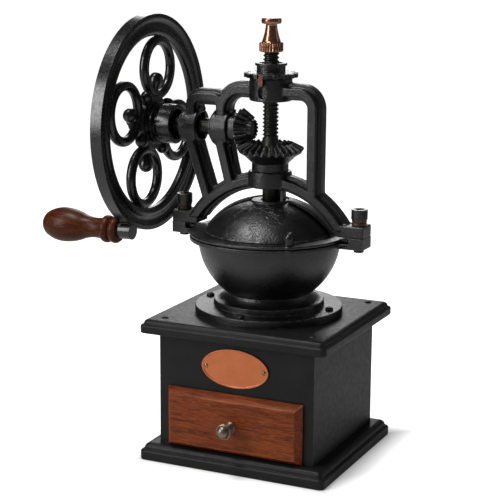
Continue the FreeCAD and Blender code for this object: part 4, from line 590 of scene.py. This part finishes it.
def knurled_collar():
    """Rows of the collar, up from its foot."""
    return [
        (0.0, plain(COLLAR_FOOT)),
        (0.1, plain(COLLAR_EDGE)),
        (0.5, knurl(KNURL_RADIUS - 0.45, 0.2)),
        (0.9, knurl(KNURL_RADIUS, KNURL_DEPTH)),
        (0.5 * COLLAR_HEIGHT, knurl(KNURL_RADIUS, KNURL_DEPTH + 0.05)),
        (COLLAR_HEIGHT - 0.9, knurl(KNURL_RADIUS, KNURL_DEPTH)),
        (COLLAR_HEIGHT - 0.5, knurl(KNURL_RADIUS - 0.35, 0.2)),
        (COLLAR_HEIGHT - 0.1, plain(COLLAR_EDGE)),
    ]


def finial_head(height):
    """Rows of the head, with a round edge and a low crown up to the finial's height."""
    rows = []
    crown = FINIAL_HEAD - FINIAL_BEAD
    for step in range(1, FINIAL_BEAD_STEPS + 1):
        turn = math.pi * (step / FINIAL_BEAD_STEPS - 0.5)
        level = FINIAL_HEAD_MIDDLE + FINIAL_HEAD_HALF * math.sin(turn)
        rows.append((level, plain(crown + FINIAL_BEAD * math.cos(turn))))
    shoulder = FINIAL_HEAD_MIDDLE + FINIAL_HEAD_HALF
    for step in range(1, FINIAL_CROWN_STEPS + 1):
        share = step / FINIAL_CROWN_STEPS
        rise = (height - shoulder) * math.sin(0.5 * math.pi * share)
        rows.append((shoulder + rise, plain(crown * (1.0 - share) + DOME_TIP)))
    return rows


def finial():
    """Turned knob on the spindle's top: knurled collar, flared waist and round head."""
    low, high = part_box("finial_knob")
    rows = knurled_collar()
    for step in range(FLARE_STEPS + 1):
        share = step / FLARE_STEPS
        radius = WAIST_RADIUS + (FLARE_RADIUS - WAIST_RADIUS) * (1.0 - share) ** FLARE_SHAPE
        rows.append((COLLAR_HEIGHT + (WAIST_HEIGHT - COLLAR_HEIGHT) * share, plain(radius)))
    rows += finial_head((high.z - low.z) / MM)
    points, faces = turned(rows, around=144)
    foot = Vector((0.0, 0.0, low.z))
    points = [foot + point for point in points]
    stand_in("finial_turned", points, faces, FINIAL_COPPER, "spindle", "finial_knob")


# Drawer knob

KNOB_FOOT = 1.6
KNOB_RING_STARTS = (2.0, 4.4)
KNOB_RING = 1.9
KNOB_DOME_LIFT = 1.0
KNOB_DOME_STEPS = 8
KNOB_DOME_TIP = 0.05
# Radii as shares of the head's radius.
FOOT_RING_SHARE = 0.7
FOOT_EDGE_SHARE = 0.651
STEM_SHARE = 0.49
STEM_RING_SHARE = 0.616
DOME_SHARE = 0.82


def knob_stem(head):
    """Rows of the foot ring and the ringed stem, out from the drawer's front."""
    ring_radius, edge = FOOT_RING_SHARE * head, FOOT_EDGE_SHARE * head
    rows = [(0.0, plain(edge)), (0.3, plain(ring_radius))]
    rows += [(KNOB_FOOT - 0.3, plain(ring_radius)), (KNOB_FOOT, plain(edge))]
    for start in KNOB_RING_STARTS:
        rows.append((start, plain(STEM_SHARE * head)))
        rows.append((start + 0.5, plain(STEM_RING_SHARE * head)))
        rows.append((start + KNOB_RING - 0.5, plain(STEM_RING_SHARE * head)))
        rows.append((start + KNOB_RING, plain(STEM_SHARE * head)))
    return rows


def knob_head(head, reach):
    """Rows of the head: a rim and a low dome within it."""
    rim = reach - head
    rows = [
        (rim - 2.4, plain(STEM_SHARE * head)),
        (rim - 1.3, plain(0.74 * head)),
        (rim - 0.5, plain(0.96 * head)),
        (rim + 0.2, plain(head)),
        (rim + 0.9, plain(0.98 * head)),
        (rim + 1.2, plain(0.91 * head)),
    ]
    foot = rim + KNOB_DOME_LIFT
    for step in range(KNOB_DOME_STEPS + 1):
        turn = 0.5 * math.pi * step / KNOB_DOME_STEPS
        radius = DOME_SHARE * head * math.cos(turn) + KNOB_DOME_TIP
        rows.append((foot + (reach - foot) * math.sin(turn), plain(radius)))
    return rows


def knob():
    """Turned drawer knob: a foot ring, a ringed stem and a rimmed head with a low dome."""
    low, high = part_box("drawer_knob")
    reach = (high.y - low.y) / MM
    head = 0.5 * (high.x - low.x) / MM
    points, faces = turned(knob_stem(head) + knob_head(head, reach), around=48)
    to_front = Matrix.Rotation(math.radians(90.0), 3, "X")
    foot = Vector((0.5 * (low.x + high.x), high.y, 0.5 * (low.z + high.z)))
    points = [foot + to_front @ point for point in points]
    stand_in("knob_turned", points, faces, FINISH["bronze"], "drawer", "drawer_knob")


# Slotted flange screws

SCREWS = 4
# From the outermost point of the solid screws to their circle, and the height of their heads.
SCREW_INSET = 3.0
SOLID_HEAD_HEIGHT = 1.3
HEAD_RADIUS = 3.3
HEAD_FOOT_RADIUS = 3.1
HEAD_SINK = 0.3
HEAD_SIDE = 0.9
HEAD_DOME = 1.9
HEAD_DOME_STEPS = 5
HEAD_DOME_TURN = 0.3
SLOT_HALF_WIDTH = 0.45
SLOT_DEPTH = 1.0
SLOT_START = 1.2
FIRST_SLOT_TURN = 0.7
SLOT_TURN_STEP = 1.3


def screw_head():
    """One round head that stands on the Z axis, a little sunk into its seat."""
    rows = [(-HEAD_SINK, plain(HEAD_FOOT_RADIUS)), (HEAD_SIDE, plain(HEAD_RADIUS))]
    for step in range(1, HEAD_DOME_STEPS + 1):
        turn = HEAD_DOME_TURN * step
        radius = DOME_TIP + (HEAD_RADIUS - DOME_TIP) * math.cos(turn)
        rows.append((HEAD_SIDE + HEAD_DOME * math.sin(turn), plain(radius)))
    return turned(rows, around=36)


def slotted(points, turn):
    """The points of a head with a straight slot pressed into its dome."""
    across = Vector((-math.sin(turn), math.cos(turn), 0.0))
    pressed = []
    for point in points:
        in_dome = point.z > SLOT_START * MM
        in_slot = in_dome and abs(point.dot(across)) < SLOT_HALF_WIDTH * MM
        depth = SLOT_DEPTH * MM if in_slot else 0.0
        pressed.append(point - Vector((0.0, 0.0, depth)))
    return pressed


def screw_heads():
    """Round slotted heads on the bowl's flange."""
    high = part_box("flange_screws")[1]
    circle = high.x - SCREW_INSET * MM
    seat = high.z - SOLID_HEAD_HEIGHT * MM
    points, faces = screw_head()
    heads = []
    for number in range(SCREWS):
        turn = math.tau * number / SCREWS
        centre = Vector((circle * math.cos(turn), circle * math.sin(turn), seat))
        head = slotted(points, FIRST_SLOT_TURN + SLOT_TURN_STEP * number)
        heads.append(([centre + point for point in head], faces))
    points, faces = joined(heads)
    stand_in("flange_screw_heads", points, faces, DARK_STEEL, "mill", "flange_screws")


# Moulded edges of the base and the top plate

PLATE_CORNER = 4.6
LEAST_CORNER = 1.2
CORNER_POINTS = 9
CHUTE_RADIUS = 27.5
SMALL_BEAD_STEPS = 5
LARGE_BEAD_STEPS = 7
STEP_WIDTH = 0.6
STEP_RISE = 0.1
LARGE_BEAD_RISE = 0.4
TOP_EASE = 0.8


def rounded_ring(half_x, half_y, corner, height):
    """Points round a rectangle with round corners."""
    points = []
    for quarter, (side_x, side_y) in enumerate(((1, 1), (-1, 1), (-1, -1), (1, -1))):
        for step in range(CORNER_POINTS):
            angle = 0.5 * math.pi * (quarter + step / (CORNER_POINTS - 1))
            x = side_x * (half_x - corner) + corner * math.cos(angle)
            y = side_y * (half_y - corner) + corner * math.sin(angle)
            points.append(MM * Vector((x, y, height)))
    return points


def bead(start, end, steps):
    """Quarter round from one (inset, height) to another, bulging outwards."""
    points = []
    for step in range(steps + 1):
        angle = 0.5 * math.pi * step / steps
        inset = end[0] - (end[0] - start[0]) * math.cos(angle)
        height = start[1] + (end[1] - start[1]) * math.sin(angle)
        points.append((inset, height))
    return points


def moulding(foot, band, small, large, thickness):
    """Edge profile as (inset, height) from the underside up.

    An eased foot, an upright band, a small bead, a narrow step and a large bead.
    """
    step = small[0] + STEP_WIDTH
    profile = foot + bead((0.0, band), small, SMALL_BEAD_STEPS)
    profile.append((step, small[1] + STEP_RISE))
    profile += bead((step, small[1] + LARGE_BEAD_RISE), large, LARGE_BEAD_STEPS)
    profile.append((large[0] + TOP_EASE, thickness))
    return profile


def moulded_plate(name, node, foot, band, small, large, hole=None):
    """Board with a moulded edge, and a round hole if it has a radius."""
    low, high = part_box(node)
    underside = low.z / MM
    profile = moulding(foot, band, small, large, high.z / MM - underside)
    rings = []
    for inset, height in profile:
        corner = max(PLATE_CORNER - 0.5 * inset, LEAST_CORNER)
        rings.append(rounded_ring(high.x / MM - inset, high.y / MM - inset, corner, underside + height))
    if hole:
        angles = [math.atan2(point.y, point.x) for point in rings[0]]
        for height in (high.z, low.z):
            rings.append([Vector((hole * MM * math.cos(a), hole * MM * math.sin(a), height)) for a in angles])
        faces = wall(rings, looped=True)
    else:
        faces = wall(rings) + caps(rings)
    obj = stand_in(name, flat_list(rings), faces, FINISH["black_wood"], "mill", node)
    weigh_normals(obj)


def base_moulding():
    foot = [(0.9, 0.0), (0.25, 0.25), (0.0, 0.9)]
    moulded_plate("base_moulding", "base_plate", foot, band=6.4, small=(2.0, 8.2), large=(6.6, 13.1))


def top_moulding():
    foot = [(1.4, 0.0), (0.4, 0.3), (0.0, 1.1)]
    moulded_plate(
        "top_moulding", "top_plate", foot, band=5.4, small=(1.7, 7.0), large=(5.2, 10.7), hole=CHUTE_RADIUS
    )


# Buds of the crank wheel

BUDS = 4
WHEEL_TURN = math.radians(-15.0)
# From the back of the hub to the plane of the rings.
HUB_BACK = 10.6
# Distance from the shaft and radius, from the stem in the hub to the tip.
BUD_OUTLINE = (
    (18.0, 2.6), (24.0, 2.7), (27.0, 3.2), (29.5, 4.4), (32.0, 5.6),
    (34.5, 6.15), (37.0, 5.9), (39.2, 4.7), (40.7, 2.9), (41.4, 0.4),
)


def buds():
    """Pear shaped buds that stand from the hub into the wheel's rings."""
    back_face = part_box("crank_wheel")[0].x
    shaft_low, shaft_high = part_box("wheel_shaft")
    centre = Vector((back_face + HUB_BACK * MM, 0.0, 0.5 * (shaft_low.z + shaft_high.z)))
    rings = [ring(reach, plain(radius), around=28) for reach, radius in BUD_OUTLINE]
    upright, faces = flat_list(rings), wall(rings)
    parts = []
    for number in range(BUDS):
        outwards = Matrix.Rotation(WHEEL_TURN + math.tau * number / BUDS, 3, "X")
        parts.append(([centre + outwards @ point for point in upright], faces))
    points, faces = joined(parts)
    obj = new_object("wheel_buds", points, faces, FINISH["wheel_black"])
    rounded = obj.modifiers.new("smooth", "SUBSURF")
    rounded.levels = 1
    rounded.render_levels = 1
    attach(obj, "wheel")


# Camera, floor and light

AZIMUTH = math.radians(25.11)
ELEVATION = math.radians(12.53)
ROLL = math.radians(0.39)
DISTANCE = 1.20378
LOOK_AT = Vector((0.0, 0.0, 0.17))
SHIFT_LEFT = 0.01556
SHIFT_DOWN = 0.00427
SENSOR_WIDTH = 36.0
PHOTO_PIXELS = 500.0
FOCAL_PIXELS = 1501.8


def camera():
    """The photo's view, a little rolled and off centre."""
    level = Vector((math.cos(AZIMUTH), math.sin(AZIMUTH), 0.0))
    back = Matrix.Rotation(AZIMUTH, 3, "Z") @ Vector((0.0, -math.cos(ELEVATION), math.sin(ELEVATION)))
    upright = back.cross(level)
    right = level * math.cos(ROLL) + upright * math.sin(ROLL)
    up = upright * math.cos(ROLL) - level * math.sin(ROLL)
    spot = LOOK_AT + back * DISTANCE - right * SHIFT_LEFT - up * SHIFT_DOWN
    data = bpy.data.cameras.new("camera")
    data.sensor_width = SENSOR_WIDTH
    data.lens = SENSOR_WIDTH * FOCAL_PIXELS / PHOTO_PIXELS
    obj = bpy.data.objects.new("camera", data)
    turn = Matrix((right, up, back)).transposed()
    obj.matrix_world = Matrix.Translation(spot) @ turn.to_4x4()
    bpy.context.scene.collection.objects.link(obj)
    bpy.context.scene.camera = obj


# Sizes of the sweep, in metres.
SWEEP_HALF_WIDTH = 7.0
SWEEP_NEAR = -4.0
SWEEP_FAR = 2.2
SWEEP_BEND = 0.8
SWEEP_TOP = 3.5
BEND_STEPS = 12
PAINTED_SHADOW_WIDTH = 0.02
PAINTED_SHADOW_GLOW = 0.25
PAPER_GLOW = 0.96
MIRRORED_SHARE = 0.25
MIRRORED_FULL = 0.3
MIRRORED_END = 0.75


def paper():
    """Pale paper that glows white to the camera, less close to the mill's base as a painted contact shadow,
    and dimly in reflections.
    """
    s = Shade("sweep_paper")
    tone = s.blend(s.noise(scale=40.0, detail=4.0), (0.57, 0.57, 0.57), (0.6, 0.6, 0.6))
    s.set(Base_Color=tone, Roughness=0.9, Specular_IOR_Level=0.1, Emission_Color=(1.0, 1.0, 1.0))
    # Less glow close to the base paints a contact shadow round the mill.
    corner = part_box("base_plate")[1]
    past_x = s.calc("SUBTRACT", s.calc("ABSOLUTE", s.axis("X")), corner.x)
    past_y = s.calc("SUBTRACT", s.calc("ABSOLUTE", s.axis("Y")), corner.y)
    glow_with_painted_shadow = s.span(s.calc("MAXIMUM", past_x, past_y), 0.0, PAINTED_SHADOW_WIDTH, PAINTED_SHADOW_GLOW, PAPER_GLOW)
    right_x = s.product(s.axis("X"), math.cos(AZIMUTH))
    right_y = s.product(s.axis("Y"), math.sin(AZIMUTH))
    aside = s.calc("ABSOLUTE", s.calc("ADD", right_x, right_y))
    behind = s.span(aside, MIRRORED_FULL, MIRRORED_END, MIRRORED_SHARE, 0.0)
    rays = s.node("ShaderNodeLightPath").outputs
    mirrored = s.calc("MAXIMUM", rays["Is Glossy Ray"], rays["Is Transmission Ray"])
    seen = s.calc("MAXIMUM", rays["Is Camera Ray"], s.product(mirrored, behind))
    s.set(Emission_Strength=s.product(seen, glow_with_painted_shadow))
    return s.material


def sweep():
    """A floor that curves up into a back wall."""
    line = [(SWEEP_NEAR, 0.0), (SWEEP_FAR, 0.0)]
    for step in range(1, BEND_STEPS + 1):
        turn = 0.5 * math.pi * step / BEND_STEPS
        line.append((SWEEP_FAR + SWEEP_BEND * math.sin(turn), SWEEP_BEND - SWEEP_BEND * math.cos(turn)))
    line.append((SWEEP_FAR + SWEEP_BEND, SWEEP_TOP))
    points = [(side * SWEEP_HALF_WIDTH, y, z) for y, z in line for side in (-1, 1)]
    faces = [(2 * k, 2 * k + 1, 2 * k + 3, 2 * k + 2) for k in range(len(line) - 1)]
    obj = new_object("sweep", points, faces, paper())


ROOM_LIGHT = 0.06
WHITE = 1.0


def world():
    """White to the camera, and a dim room to everything else."""
    backdrop = bpy.data.worlds.new("backdrop")
    bpy.context.scene.world = backdrop
    backdrop.use_nodes = True
    tree = backdrop.node_tree
    shade = tree.nodes["Background"]
    rays = tree.nodes.new("ShaderNodeLightPath")
    level = tree.nodes.new("ShaderNodeMapRange")
    tree.links.new(rays.outputs["Is Camera Ray"], level.inputs["Value"])
    level.inputs["To Min"].default_value = ROOM_LIGHT
    level.inputs["To Max"].default_value = WHITE
    shade.inputs["Color"].default_value = (1.0, 1.0, 1.0, 1.0)
    tree.links.new(level.outputs["Result"], shade.inputs["Strength"])


def softbox(name, spot, aim_height, width, height, power, mirrored=True):
    """A rectangular lamp, in metres and watts, that faces a height on the spindle's axis."""
    data = bpy.data.lights.new(name, "AREA")
    data.shape = "RECTANGLE"
    data.size = width
    data.size_y = height
    data.energy = power
    lamp = bpy.data.objects.new(name, data)
    lamp.location = spot
    away = Vector(spot) - Vector((0.0, 0.0, aim_height))
    lamp.rotation_euler = away.to_track_quat("Z", "Y").to_euler()
    lamp.visible_glossy = mirrored
    bpy.context.scene.collection.objects.link(lamp)


def lamps():
    """A strong key and a top light, with weak lamps for the far sides."""
    softbox("key_left", (-0.78, -1.02, 0.66), aim_height=0.2, width=0.34, height=0.9, power=12.5)
    softbox(
        "fill_right", (1.25, -0.45, 0.65), aim_height=0.17, width=0.6, height=1.0, power=4.6, mirrored=False
    )
    softbox("rim_right", (1.05, 0.62, 0.5), aim_height=0.2, width=0.16, height=1.0, power=0.9)
    softbox("back_left", (-0.55, 1.15, 0.8), aim_height=0.2, width=0.5, height=0.7, power=4.5)
    softbox("top", (-0.3, -0.28, 1.25), aim_height=0.15, width=0.5, height=0.24, power=10.0)


dress_nodes()
spindle()
finial()
knob()
screw_heads()
base_moulding()
top_moulding()
buds()
camera()
sweep()
world()
lamps()
bpy.context.scene.view_settings.view_transform = "Standard"
